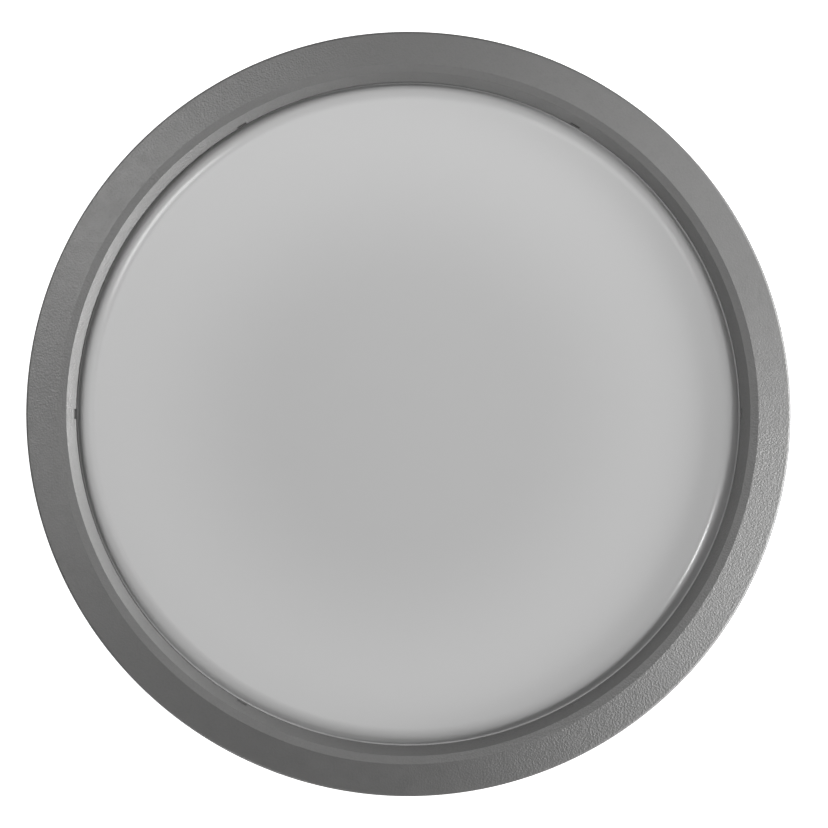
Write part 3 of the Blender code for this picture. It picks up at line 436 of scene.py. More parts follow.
def surface(name, tone, roughness, vary, grain, depth, scuff=0.12, second=None, metallic=0.0):
    """A moulded or painted surface: clouded tone, uneven gloss, fine grain, and scuffs that dull it."""
    look, links, shader = shader_of(f"{name}_look")
    shader.inputs["Metallic"].default_value = metallic
    cloud = texture(look, "ShaderNodeTexNoise", 45, Detail=6.0, Roughness=0.6)
    fine = texture(look, "ShaderNodeTexNoise", grain, Detail=5.0, Roughness=0.62)
    wear = texture(look, "ShaderNodeTexNoise", 160, Detail=8.0, Roughness=0.75)
    base = blend_tones(look, spread(look, cloud.outputs["Fac"], 0, 1), shade(tone, vary), second or tone)
    specks = spread(look, wear.outputs["Fac"], 0, 0.5, 0.6, 0.75)
    links.new(blend_tones(look, specks, base, shade(tone, vary * 0.9)), shader.inputs["Base Color"])
    dull = spread(look, wear.outputs["Fac"], roughness, roughness + scuff, 0.4, 0.75)
    links.new(dull, shader.inputs["Roughness"])
    links.new(relief(look, fine.outputs["Fac"], depth), shader.inputs["Normal"])
    return look


def cached(make):
    """Makes each look once, so that pieces of one slot share it."""
    made = {}

    def look(*args):
        if args not in made:
            made[args] = make(*args)
        return made[args]

    return look


def scaled(look, first, second):
    """The product of two values."""
    made = look.node_tree.nodes.new("ShaderNodeMath")
    made.operation = "MULTIPLY"
    look.node_tree.links.new(first, made.inputs[0])
    look.node_tree.links.new(second, made.inputs[1])
    return made.outputs[0]


def etching(look):
    """How deep the grain is: full at both ends of one diagonal of the mould, and worn shallow across it."""
    nodes, links = look.node_tree.nodes, look.node_tree.links
    chain = nodes["place"].outputs["Object"]
    for operation, vector in (("MULTIPLY", (1, 1, 0)), ("NORMALIZE", None), ("DOT_PRODUCT", polar(1, -38))):
        step = nodes.new("ShaderNodeVectorMath")
        step.operation = operation
        links.new(chain, step.inputs[0])
        if vector:
            step.inputs[1].default_value = vector
        chain = step.outputs["Value" if operation == "DOT_PRODUCT" else "Vector"]
    return spread(look, scaled(look, chain, chain), 0.3, 1.0, 0.25, 0.8)


@cached
def grained_grey():
    """Silver-grey moulded plastic with a leathery grain: shallow cells about a millimetre wide."""
    look, links, shader = shader_of("grained_grey_look")
    shader.inputs["Metallic"].default_value = 0.6
    cells = texture(look, "ShaderNodeTexVoronoi", 1250, "SMOOTH_F1", Smoothness=0.35, Randomness=1.0)
    fine = texture(look, "ShaderNodeTexNoise", 2300, Detail=3.0, Roughness=0.6)
    deep = etching(look)
    cloud = texture(look, "ShaderNodeTexNoise", 30, Detail=5.0, Roughness=0.6)
    wear = texture(look, "ShaderNodeTexNoise", 220, Detail=8.0, Roughness=0.8)
    clouds = spread(look, cloud.outputs["Fac"], 0, 1)
    tone = blend_tones(look, clouds, (0.221, 0.220, 0.218), (0.230, 0.229, 0.227))
    pits = spread(look, cells.outputs["Distance"], 0.0, 0.35, 0.45, 0.9)
    tone = blend_tones(look, pits, tone, (0.200, 0.200, 0.198))
    rubbed = spread(look, wear.outputs["Fac"], 0, 0.5, 0.66, 0.8)
    tone = blend_tones(look, rubbed, tone, (0.255, 0.255, 0.252))
    links.new(tone, shader.inputs["Base Color"])
    links.new(spread(look, wear.outputs["Fac"], 0.47, 0.56, 0.35, 0.7), shader.inputs["Roughness"])
    coarse = relief(look, scaled(look, cells.outputs["Distance"], deep), 0.115 * MM)
    both = relief(look, scaled(look, fine.outputs["Fac"], deep), 0.095 * MM, coarse)
    links.new(both, shader.inputs["Normal"])
    return look


@cached
def opal():
    """Satin opal diffuser, its colour darker towards the middle: painted shade standing in for the dimmer
    light there.
    """
    look, links, shader = shader_of("opal_look")
    nodes = look.node_tree.nodes
    place = nodes.new("ShaderNodeTexCoord")
    flat = nodes.new("ShaderNodeVectorMath")
    flat.operation = "MULTIPLY"
    flat.inputs[1].default_value = (1, 1, 0)
    reach = nodes.new("ShaderNodeVectorMath")
    reach.operation = "LENGTH"
    links.new(place.outputs["Object"], flat.inputs[0])
    links.new(flat.outputs[0], reach.inputs[0])
    # painted shade: the tone runs from darker in the middle to lighter beyond about 45 to 115 mm out
    share = spread(look, reach.outputs["Value"], 0, 1, 0.045, 0.115)
    tone = blend_tones(look, share, (0.55, 0.55, 0.55), (0.64, 0.64, 0.64))
    dust = texture(look, "ShaderNodeTexNoise", 2600, Detail=4.0, Roughness=0.7)
    tone = blend_tones(look, spread(look, dust.outputs["Fac"], 0, 0.12, 0.66, 0.8), tone, (0.5, 0.5, 0.49))
    links.new(tone, shader.inputs["Base Color"])
    cloud = texture(look, "ShaderNodeTexNoise", 90, Detail=5.0, Roughness=0.6)
    links.new(spread(look, cloud.outputs["Fac"], 0.19, 0.24), shader.inputs["Roughness"])
    skin = texture(look, "ShaderNodeTexNoise", 420, Detail=2.0, Roughness=0.5)
    links.new(relief(look, skin.outputs["Fac"], 0.004 * MM), shader.inputs["Normal"])
    return look


@cached
def foam():
    """Closed-cell foam: round open pits over a soft black skin, with the pits painted darker as shade."""
    look, links, shader = shader_of("foam_look")
    cells = texture(look, "ShaderNodeTexVoronoi", 1700, Randomness=1.0)
    # painted shade: the colour is darkest at the cell centres, where the relief sinks into pits
    share = spread(look, cells.outputs["Distance"], 0, 1)
    links.new(blend_tones(look, share, shade(WHITE, 0.012), shade(WHITE, 0.05)), shader.inputs["Base Color"])
    links.new(spread(look, cells.outputs["Distance"], 0.98, 0.85), shader.inputs["Roughness"])
    links.new(relief(look, cells.outputs["Distance"], 0.2 * MM), shader.inputs["Normal"])
    return look


@cached
def solder_mask():
    """White solder mask over copper: the round tracks stand a little proud beneath it."""
    look = surface("solder_mask", (0.82, 0.83, 0.82), 0.38, 0.95, 1800, 0.006 * MM, 0.1)
    links, shader = look.node_tree.links, look.node_tree.nodes["Principled BSDF"]
    tracks = texture(look, "ShaderNodeTexWave", 36, Distortion=0.0)
    tracks.wave_type = "RINGS"
    tracks.rings_direction = "Z"
    edge = spread(look, tracks.outputs["Fac"], 0, 1, 0.25, 0.32)
    under = shader.inputs["Normal"].links[0].from_socket
    links.new(relief(look, edge, 0.05 * MM, under), shader.inputs["Normal"])
    return look


@cached
def green_board():
    """Green circuit board: lighter where tracks run beneath the mask."""
    look, links, shader = shader_of("green_board_look")
    tracks = texture(look, "ShaderNodeTexWave", 110, Distortion=1.6, Detail=0.0)
    edge = spread(look, tracks.outputs["Fac"], 0, 1, 0.5, 0.56)
    links.new(blend_tones(look, edge, (0.012, 0.10, 0.035), (0.03, 0.2, 0.07)), shader.inputs["Base Color"])
    fine = texture(look, "ShaderNodeTexNoise", 1200, Detail=4.0)
    links.new(spread(look, fine.outputs["Fac"], 0.3, 0.42), shader.inputs["Roughness"])
    links.new(relief(look, edge, 0.04 * MM), shader.inputs["Normal"])
    return look


@cached
def plated_steel():
    """Zinc-plated steel: drawn scratches, and a faint blue and straw play of colour."""
    look, links, shader = shader_of("plated_steel_look")
    shader.inputs["Metallic"].default_value = 1.0
    cloud = texture(look, "ShaderNodeTexNoise", 260, Detail=5.0)
    share = spread(look, cloud.outputs["Fac"], 0, 1)
    links.new(blend_tones(look, share, (0.60, 0.62, 0.66), (0.68, 0.66, 0.60)), shader.inputs["Base Color"])
    scratches = texture(look, "ShaderNodeTexNoise", 2400, Detail=6.0, Roughness=0.8, Distortion=1.5)
    links.new(spread(look, scratches.outputs["Fac"], 0.22, 0.42), shader.inputs["Roughness"])
    links.new(relief(look, scratches.outputs["Fac"], 0.008 * MM), shader.inputs["Normal"])
    return look


# Each plain look's tone, roughness, darkest share of the tone, grain, its depth, scuffing and second tone
LOOKS = {
    "silicone": ((0.60, 0.60, 0.585), 0.5, 0.9, 1400, 0.01 * MM),
    "black_rubber": ((0.022, 0.022, 0.023), 0.62, 0.7, 1300, 0.03 * MM, 0.2, (0.04, 0.04, 0.04)),
    "white_sheet": ((0.86, 0.86, 0.85), 0.3, 0.96, 700, 0.012 * MM, 0.08),
    "white_plastic": ((0.76, 0.76, 0.73), 0.4, 0.93, 1500, 0.02 * MM, 0.14),
    "black_plastic": ((0.028, 0.028, 0.03), 0.42, 0.75, 1600, 0.02 * MM, 0.15, (0.045, 0.045, 0.045)),
    "orange_plastic": ((0.78, 0.22, 0.02), 0.38, 0.85, 1500, 0.015 * MM),
    "tape_wrap": ((0.78, 0.56, 0.05), 0.42, 0.85, 500, 0.03 * MM),
    "phosphor": ((0.86, 0.62, 0.07), 0.45, 0.85, 2600, 0.03 * MM, 0.1),
    "ferrite": ((0.05, 0.05, 0.055), 0.6, 0.7, 2600, 0.03 * MM, 0.15, None, 0.1),
    "line_cover": ((0.17, 0.065, 0.03), 0.42, 0.85, 900, 0.01 * MM),
    "neutral_cover": ((0.02, 0.1, 0.5), 0.42, 0.85, 900, 0.01 * MM),
    "earth_cover": ((0.12, 0.4, 0.05), 0.42, 0.85, 900, 0.01 * MM),
    "led_plus_cover": ((0.5, 0.02, 0.02), 0.42, 0.85, 900, 0.01 * MM),
    "led_minus_cover": ((0.02, 0.02, 0.02), 0.42, 0.8, 900, 0.01 * MM),
}


@cached
def look_of(name):
    return surface(name, *LOOKS[name])


# ---------------------------------------------------------------- cover


def face_height(radius):
    """Height of the ring's sloping face at a radius."""
    return CREST_Z - (radius - CREST_RADIUS) * math.tan(FACE_SLOPE)


def trim_ring():
    drop = RING_WALL / math.cos(FACE_SLOPE)
    inner = RING_RADIUS - RING_WALL
    back_crest = CREST_RADIUS + RING_BACK
    corners = [
        (inner, SKIRT_FOOT_Z, 0.3 * MM),
        (RING_RADIUS, SKIRT_FOOT_Z, SKIRT_EASE),
        (RING_RADIUS, face_height(RING_RADIUS), SHOULDER_ROUND),
        (CREST_RADIUS, CREST_Z, 0.1 * MM),
        (LEDGE_RADIUS, LEDGE_Z, 0.15 * MM),
        (WALL_FOOT_RADIUS, WALL_FOOT_Z, 0.4 * MM),
        (WALL_FOOT_RADIUS, LIP_Z, 0.4 * MM),
        (WALL_FOOT_RADIUS + LIP_LAND, LIP_Z, 0.3 * MM),
        (LEDGE_RADIUS + RING_BACK, LEDGE_Z - RING_WALL, 0.8 * MM),
        (back_crest, face_height(back_crest) - drop, 1.0 * MM),
        (inner, face_height(inner) - drop, 1.5 * MM),
    ]
    data = bmesh.new()
    add_turned(data, eased(corners, 5), FINE_TURN, closed=True)
    made = new_object("trim_ring_visual", data, grained_grey())
    carve(made, "UNION", ring_hooks())
    carve(made, "DIFFERENCE", ring_notches())
    settle(made, "ring", "grained_grey", "trim_ring")


def ring_hooks():
    """Six hooks with a lead-in nose, and the six lugs of the thread."""
    data = bmesh.new()
    lug_radii = (LUG_RADIUS, RING_RADIUS - RING_WALL / 2)
    outside = HOOK_RADIUS + HOOK_THICK
    top = face_height(outside) - RING_WALL / 2
    foot = FLANGE_Z - HOOK_DROP
    catch = FLANGE_Z - GAP
    ease = 0.3 * MM
    outline = eased(
        [
            (HOOK_RADIUS, top, 0),
            (HOOK_RADIUS, catch, ease),
            (HOOK_RADIUS - HOOK_NOSE, catch, ease),
            (HOOK_RADIUS - HOOK_NOSE * 0.6, foot, ease),
            (outside, foot, 2 * ease),
            (outside, top, 0),
        ],
        3,
    )
    for heading in SIXTHS:
        turn = Matrix.Rotation(math.radians(heading), 4, "Z")
        ends = (-HOOK_WIDTH / 2, HOOK_WIDTH / 2)
        add_skin(data, [[turn @ Vector((radius, y, height)) for radius, height in outline] for y in ends])
        add_helical_bar(data, lug_radii, LUG_ANGLES, LUG_Z, heading + THREAD_PHASE)
    return data


def ring_notches():
    """Small notches at the foot of the inner wall, one over each hook."""
    data = bmesh.new()
    for heading in SIXTHS:
        centre = polar(WALL_FOOT_RADIUS, heading, WALL_FOOT_Z)
        add_block(data, (NOTCH_DEPTH * 2, NOTCH_LENGTH, NOTCH_HEIGHT), centre, 0, heading)
    return data


def rim_foot():
    """How far out from the rim's centre its slope, at its full tilt, meets the flange."""
    tilt = math.radians(DIFFUSER_RIM_TILT)
    drop = DIFFUSER_RIM_ROUND * (1 - math.cos(tilt))
    return DIFFUSER_RIM_ROUND * math.sin(tilt) + (DIFFUSER_RIM_Z - drop - FLANGE_TOP_Z) / math.tan(tilt)


def diffuser():
    edge = DIFFUSER_RADIUS - rim_foot()
    shares = [step / 12 for step in range(12)]
    front = [(edge * share, DIFFUSER_RIM_Z + DIFFUSER_CROWN * (1 - share**2)) for share in shares]
    back = [(radius, height - DIFFUSER_WALL) for radius, height in front]
    centre = (edge, DIFFUSER_RIM_Z - DIFFUSER_RIM_ROUND)

    def rim(radius, start, end, steps):
        turns = [math.radians(start + (end - start) * step / steps) for step in range(steps + 1)]
        return [(centre[0] + radius * math.cos(turn), centre[1] + radius * math.sin(turn)) for turn in turns]

    outer = rim(DIFFUSER_RIM_ROUND, 90, 90 - DIFFUSER_RIM_TILT, 16)
    inner = rim(DIFFUSER_RIM_ROUND - DIFFUSER_WALL, 90 - DIFFUSER_RIM_TILT, 90, 12)
    bend = DIFFUSER_WALL * math.tan(math.radians(DIFFUSER_RIM_TILT / 2))
    flange = eased(
        [
            (*outer[-1], 0),
            (DIFFUSER_RADIUS, FLANGE_TOP_Z, 0.6 * MM),
            (FLANGE_RADIUS, FLANGE_TOP_Z, 0.4 * MM),
            (FLANGE_RADIUS, FLANGE_Z, 0.4 * MM),
            (DIFFUSER_RADIUS - bend, FLANGE_Z, 1.2 * MM),
            (*inner[0], 0),
        ]
    )
    data = bmesh.new()
    add_turned(data, [*front, *outer, *flange[1:-1], *inner, *back[::-1]], FINE_TURN)
    made = new_object("diffuser_visual", data, opal(), sharp=50)
    settle(made, "cover", "opal", "diffuser")


def ring_piece(name, slot, look, corners, turn=FINE_TURN, steps=4):
    """A closed ring turned from eased corners, in the place of the pan's CAD node of the same name."""
    data = bmesh.new()
    add_turned(data, eased(corners, steps), turn, closed=True)
    settle(new_object(f"{name}_visual", data, look), "pan", slot, name)


def seals():
    low, high = (corner.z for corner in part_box("diffuser_gasket"))
    inside, outside = GROOVE_RADII[0] + GAP, GROOVE_RADII[1] - GAP
    gasket = [
        (inside, low, 0.4 * MM),
        (outside, low, 0.4 * MM),
        (outside, high, 0.9 * MM),
        (inside, high, 0.6 * MM),
    ]
    ring_piece("diffuser_gasket", "silicone", look_of("silicone"), gasket)
    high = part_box("wall_seal")[1].z
    inside, outside = SEAL_RADII[0] + GAP, SEAL_RADII[1] - GAP
    strip = [(inside, 0, GAP), (outside, 0, GAP), (outside, high, 0.2 * MM), (inside, high, 0.2 * MM)]
    ring_piece("wall_seal", "foam", foam(), strip)


# ---------------------------------------------------------------- back pan


def posts():
    """Each small post's place and height: under the driver's ears and under the clamp."""
    driver = [(middle(f"driver_screw_{number}")[0], DRIVER_POST_Z) for number in (1, 2)]
    clamp = [(middle(f"clamp_screw_{number}")[0], CLAMP_POST_Z) for number in (1, 2)]
    return [(place.xy, height) for place, height in driver + clamp]


def base_housing():
    ease = 0.3 * MM
    groove_in, groove_out = GROOVE_RADII
    inside_top = BODY_TOP_Z - BODY_WALL
    corners = [
        (0, 0, 0),
        (SEAL_RADII[0], 0, ease),
        (SEAL_RADII[0], SEAL_DEPTH, ease / 2),
        (SEAL_RADII[1], SEAL_DEPTH, ease / 2),
        (SEAL_RADII[1], 0, ease),
        (PAN_OUTER_RADIUS, 0, ease),
        (PAN_OUTER_RADIUS, inside_top, 1.5 * MM),
        (BODY_RADIUS - BODY_WALL, inside_top, 1.5 * MM),
        (BODY_RADIUS - BODY_WALL, 0, ease),
        (BODY_RADIUS, 0, 0.8 * MM),
        (BODY_RADIUS, BODY_TOP_Z, 2.2 * MM),
        (PAN_OUTER_RADIUS, BODY_TOP_Z, 0.8 * MM),
        (PAN_OUTER_RADIUS, PAN_RIM_Z - PAN_RIM_HEIGHT, 0.8 * MM),
        (PAN_RIM_RADIUS, PAN_RIM_Z - PAN_RIM_HEIGHT + PAST, 0.8 * MM),
        (PAN_RIM_RADIUS, PAN_RIM_Z, ease),
        (groove_out, PAN_RIM_Z, ease),
        (groove_out, PAN_RIM_Z - GROOVE_DEPTH, ease),
        (groove_in, PAN_RIM_Z - GROOVE_DEPTH, ease),
        (groove_in, PAN_RIM_Z, ease),
        (PAN_INNER_RADIUS, PAN_RIM_Z, ease),
        (PAN_INNER_RADIUS, PAN_FLOOR, 2.4 * MM),
        (0, PAN_FLOOR, 0),
    ]
    pan = turned_object("base_housing_visual", corners, grained_grey(), PAN_TURN)
    carve(pan, "UNION", pan_growths(), crossing=True)
    carve(pan, "DIFFERENCE", pan_holes())
    settle(pan, "pan", "grained_grey", "base_housing")


def pan_growths():
    """The thread's ramps, the posts with their fillets and ribs, and the side entries' bosses."""
    data = bmesh.new()
    sunk = PAN_FLOOR - PAST
    ramp_radii = (PAN_OUTER_RADIUS - PAST, RAMP_RADIUS)
    rib = (3.6 * MM, 1.4 * MM, 11 * MM)
    for heading in SIXTHS:
        add_helical_bar(data, ramp_radii, RAMP_ANGLES, RAMP_Z, heading + THREAD_PHASE)
    for heading in POST_ANGLES:
        centre = polar(POST_CIRCLE, heading)
        add_drum(data, POST_RADIUS, sunk, TRAY_Z - GAP, placed(centre), 0.4 * MM, 1.4 * MM)
        for side in range(4):
            facing = heading + 90 * side + 45
            rib_centre = centre + polar(POST_RADIUS + 0.8 * MM, facing, sunk + rib[2] / 2)
            add_block(data, rib, rib_centre, 0.3 * MM, facing)
    for place, height in posts():
        add_drum(data, SMALL_POST, sunk, height, placed(place), 0.3 * MM, 1.0 * MM)
    for heading in FIXING_ANGLES:
        place = placed(polar(FIXING_CIRCLE, heading))
        add_drum(data, FIXING_BOSS_RADIUS, sunk, FIXING_BOSS_Z, place, 0.5 * MM, 1.0 * MM)
    for side in (-1, 1):
        start = (0, side * (PAN_INNER_RADIUS + 0.6 * MM), ENTRY_Z)
        end = (0, side * BODY_RADIUS, ENTRY_Z)
        length = BODY_RADIUS - PAN_INNER_RADIUS - 1.6 * MM
        add_drum(data, ENTRY_BOSS_RADIUS, 0, length, pointed(start, end), 0.3 * MM, turn=BORE_TURN)
    return data


def pan_holes():
    data = bmesh.new()
    top = TRAY_Z - GAP
    below = -PAST
    for heading in POST_ANGLES:
        add_bore(data, SCREW_HOLE, TRAY_Z - POST_HOLE_DEPTH, top, placed(polar(POST_CIRCLE, heading)))
    for place, height in posts():
        add_bore(data, SCREW_HOLE, SMALL_HOLE_FOOT, height, placed(place))
    for heading in FIXING_ANGLES:
        add_bore(data, FIXING_HOLE, below, FIXING_BOSS_Z, placed(polar(FIXING_CIRCLE, heading)), 0.2 * MM)
    add_bore(data, GROMMET_RADIUS, below, PAN_FLOOR, placed(GROMMET_PLACE), 0.2 * MM, BORE_TURN)
    reach = 4 * MM
    for side in (-1, 1):
        start = (0, side * (PAN_INNER_RADIUS - reach), ENTRY_Z)
        end = (0, side * (BODY_RADIUS + reach), ENTRY_Z)
        depth = BODY_RADIUS - PAN_INNER_RADIUS + reach
        add_bore(data, ENTRY_RADIUS, 0, depth, pointed(start, end), 0.2 * MM, BORE_TURN)
    for circle, heading in EJECTORS:
        place = placed(polar(circle * MM, heading))
        add_bore(data, EJECTOR_RADIUS, PAN_FLOOR - EJECTOR_DEPTH, PAN_FLOOR, place, 0.05 * MM)
    return data


def rubber_parts():
    look = look_of("black_rubber")
    seat = FIXING_BOSS_Z + GAP
    body = FIXING_HOLE - GAP
    ease = 0.25 * MM
    for number, heading in enumerate(FIXING_ANGLES, 1):
        corners = [
            (0, 1.0 * MM, 0),
            (body * 0.8, 0.6 * MM, ease),
            (body, 1.4 * MM, ease),
            (body, seat, ease / 2),
            (6.2 * MM, seat, ease),
            (6.2 * MM, seat + 1.6 * MM, 0.7 * MM),
            (2.2 * MM, seat + 1.6 * MM, ease),
            (1.8 * MM, seat - 2.0 * MM, ease),
            (0, seat - 2.4 * MM, 0),
        ]
        place = placed(polar(FIXING_CIRCLE, heading))
        made = turned_object(f"screw_seal_{number}_visual", corners, look, CAP_TURN, place, 3)
        settle(made, "pan", "black_rubber", f"screw_seal_{number}")
    seat = PAN_FLOOR + GAP
    body = GROMMET_RADIUS - GAP
    corners = [
        (0, 4.6 * MM, 0),
        (4.5 * MM, 4.6 * MM, ease),
        (6.4 * MM, 0.4 * MM, ease),
        (body, 0.4 * MM, ease),
        (body, seat, ease / 2),
        (11.6 * MM, seat, ease),
        (11.6 * MM, seat + 1.6 * MM, 0.8 * MM),
        (8.0 * MM, seat + 2.2 * MM, 0.8 * MM),
        (6.6 * MM, seat + 3.4 * MM, 0.15 * MM),
        (6.2 * MM, seat + 3.4 * MM, 0.15 * MM),
        (5.0 * MM, seat + 5.0 * MM, 0.15 * MM),
        (4.4 * MM, seat + 5.0 * MM, 0.15 * MM),
        (3.0 * MM, seat + 5.4 * MM, 0.4 * MM),
        (2.6 * MM, seat + 3.0 * MM, ease),
        (0, seat + 2.6 * MM, 0),
    ]
    made = turned_object("entry_grommet_visual", corners, look, PLUG_TURN, placed(GROMMET_PLACE), 3)
    settle(made, "pan", "black_rubber", "entry_grommet")
    bore, neck = BUSH_BORE, BUSH_RADIUS
    low, high = TRAY_Z - GAP, TRAY_Z + TRAY_SHEET + GAP
    lip = neck + 1.6 * MM
    corners = [
        (bore, low - 1.4 * MM, 0.5 * MM),
        (lip, low - 1.4 * MM, 0.6 * MM),
        (lip, low, 0.15 * MM),
        (neck, low, 0.1 * MM),
        (neck, high, 0.1 * MM),
        (lip, high, 0.15 * MM),
        (lip, high + 1.0 * MM, 0.6 * MM),
        (bore, high + 1.4 * MM, 0.7 * MM),
    ]
    ring_piece("tray_bush", "black_rubber", look, corners, CAP_TURN, 3)


def side_plugs():
    """Blanking plugs with a coin slot, a rimmed head and a knurl of fine flutes round it."""
    body = ENTRY_RADIUS - GAP
    head = BODY_RADIUS + GAP
    top = head + PLUG_HEAD_DEPTH
    sunk = top - 0.3 * MM
    corners = [
        (0, PAN_INNER_RADIUS + 3 * MM, 0),
        (body - 1.6 * MM, PAN_INNER_RADIUS + 3 * MM, 0.2 * MM),
        (body - 1.2 * MM, PAN_INNER_RADIUS, 0.3 * MM),
        (body, PAN_INNER_RADIUS, 0.5 * MM),
        (body, head, 0.1 * MM),
        (PLUG_HEAD_RADIUS, head, 0.2 * MM),
        (PLUG_HEAD_RADIUS, top, 1.0 * MM),
        (8.2 * MM, top, 0.2 * MM),
        (8.0 * MM, sunk, 0.2 * MM),
        (0, sunk, 0),
    ]
    for name, heading in (("side_plug_top", 90), ("side_plug_bottom", 270)):
        lay = pointed((0, 0, ENTRY_Z), polar(1, heading, ENTRY_Z))
        plug = turned_object(f"{name}_visual", corners, grained_grey(), PLUG_TURN, lay, 3)
        cuts = bmesh.new()
        add_block(cuts, (2.4 * MM, 12 * MM, 2 * MM), polar(sunk, heading, ENTRY_Z), 0.3 * MM, heading)
        for flute in range(PLUG_FLUTES):
            turn = 360 * flute / PLUG_FLUTES
            rim = lay @ polar(PLUG_HEAD_RADIUS + 0.4 * MM, turn, head)
            tip = lay @ polar(PLUG_HEAD_RADIUS + 0.4 * MM, turn, head + 3 * MM)
            add_drum(cuts, 0.7 * MM, 0, (tip - rim).length, pointed(rim, tip), turn=12)
        carve(plug, "DIFFERENCE", cuts)
        settle(plug, "pan", "grained_grey", name)


# ---------------------------------------------------------------- gear tray and LED board


def gear_tray():
    """A pressed tray of white sheet: a flat floor, a dished flank with a rim, and a bead round the board."""
    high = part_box("gear_tray")[1]
    top = TRAY_Z + TRAY_SHEET
    flat, rim = TRAY_FLAT_RADIUS, high.x
    bead_inner, bead_outer = BEAD_RADII
    bead_top = top + BEAD_HEIGHT
    slope = 0.4 * MM
    corners = [
        (0, TRAY_Z, 0),
        (flat, TRAY_Z, 1.6 * MM),
        (rim - 0.8 * MM, high.z - TRAY_SHEET, 0.5 * MM),
        (rim, high.z - TRAY_SHEET, 0.4 * MM),
        (rim, high.z, 0.5 * MM),
        (rim - 1.6 * MM, high.z, 0.8 * MM),
        (flat - 0.8 * MM, top, 2.4 * MM),
        (bead_outer, top, 0.3 * MM),
        (bead_outer - slope, bead_top, 0.4 * MM),
        (bead_inner + slope, bead_top, 0.4 * MM),
        (bead_inner, top, 0.3 * MM),
        (0, top, 0),
    ]
    tray = turned_object("gear_tray_visual", corners, look_of("white_sheet"), TRAY_TURN, steps=5)
    cuts = bmesh.new()
    sink = TRAY_Z - PAST
    for heading in POST_ANGLES:
        add_bore(cuts, SCREW_HOLE + GAP, sink, top, placed(polar(POST_CIRCLE, heading)), 0.1 * MM)
    for heading in BOARD_SCREW_ANGLES:
        add_bore(cuts, SCREW_HOLE, sink, top, placed(polar(BOARD_SCREW_CIRCLE, heading)), 0.1 * MM)
    add_bore(cuts, SCREW_HOLE, sink, top, placed(middle("earth_nut")[0].xy), 0.1 * MM)
    add_bore(cuts, BUSH_RADIUS + GAP, sink, top, None, 0.1 * MM)
    carve(tray, "DIFFERENCE", cuts)
    settle(tray, "pan", "white_sheet", "gear_tray")


def led_places():
    """Each LED's place on the board and its heading."""
    for circle, count in LED_ROWS:
        for index in range(count):
            heading = 360 * (index + 0.5) / count
            yield polar(circle, heading), heading


def led_board():
    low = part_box("led_board")[0].z
    face = low + BOARD_THICK
    ease = 0.15 * MM
    inside, outside = BOARD_RADII
    data = bmesh.new()
    corners = [(inside, low, ease), (outside, low, ease), (outside, face, ease), (inside, face, ease)]
    add_turned(data, eased(corners, 2), TRAY_TURN, closed=True)
    board = new_object("led_board_visual", data, solder_mask())
    cuts = bmesh.new()
    for heading in BOARD_SCREW_ANGLES:
        place = placed(polar(BOARD_SCREW_CIRCLE, heading))
        add_bore(cuts, SCREW_HOLE, low - PAST, face, place, 0.1 * MM)
    carve(board, "DIFFERENCE", cuts)
    settle(board, "pan", "solder_mask", "led_board")
    frames, lenses, pads = bmesh.new(), bmesh.new(), bmesh.new()
    frame_size = (LED_SIDE, LED_SIDE, LED_HEIGHT)
    pad_size = (0.6 * MM, 2.2 * MM, 0.24 * MM)
    lens = eased([(0, 0, 0), (1.15 * MM, 0, 0), (1.1 * MM, 0.16 * MM, 0.12 * MM), (0, 0.2 * MM, 0)], 3)
    for centre, heading in led_places():
        on_face = centre + Vector((0, 0, face))
        add_block(frames, frame_size, on_face + Vector((0, 0, LED_HEIGHT / 2)), 0.12 * MM, heading)
        seat = on_face + Vector((0, 0, LED_HEIGHT - 0.08 * MM))
        add_turned(lenses, lens, PIN_TURN, place=placed(seat))
        for side in (-1, 1):
            add_block(pads, pad_size, on_face + polar(side * 1.75 * MM, heading), 0.08 * MM, heading)
    settle(new_object("led_packages", frames, look_of("white_plastic")), "pan", "solder_mask")
    settle(new_object("led_lenses", lenses, look_of("phosphor")), "pan", "solder_mask")
    settle(new_object("led_pads", pads, plated_steel()), "pan", "plated_steel")


def board_connector():
    """A two-way push-in connector: wire mouths, release slots and the groove between its halves."""
    centre, size = middle("board_connector")
    made = block_object("board_connector_visual", size, centre, 0.35 * MM, look_of("white_plastic"))
    cuts = bmesh.new()
    face, top = centre.x - size.x / 2, centre.z + size.z / 2
    depth = 4 * MM
    for side in (-1, 1):
        y = centre.y + side * size.y / 4
        inwards = pointed((face + depth, y, centre.z), (face, y, centre.z))
        add_bore(cuts, 1.25 * MM, 0, depth, inwards, 0.4 * MM, PIN_TURN)
        add_block(cuts, (3.4 * MM, 1.5 * MM, 1.2 * MM), (centre.x + 1.4 * MM, y, top), 0.15 * MM)
    add_block(cuts, (size.x + 2 * MM, 0.4 * MM, 0.7 * MM), (centre.x, centre.y, top), 0)
    carve(made, "DIFFERENCE", cuts)
    settle(made, "pan", "white_plastic", "board_connector")


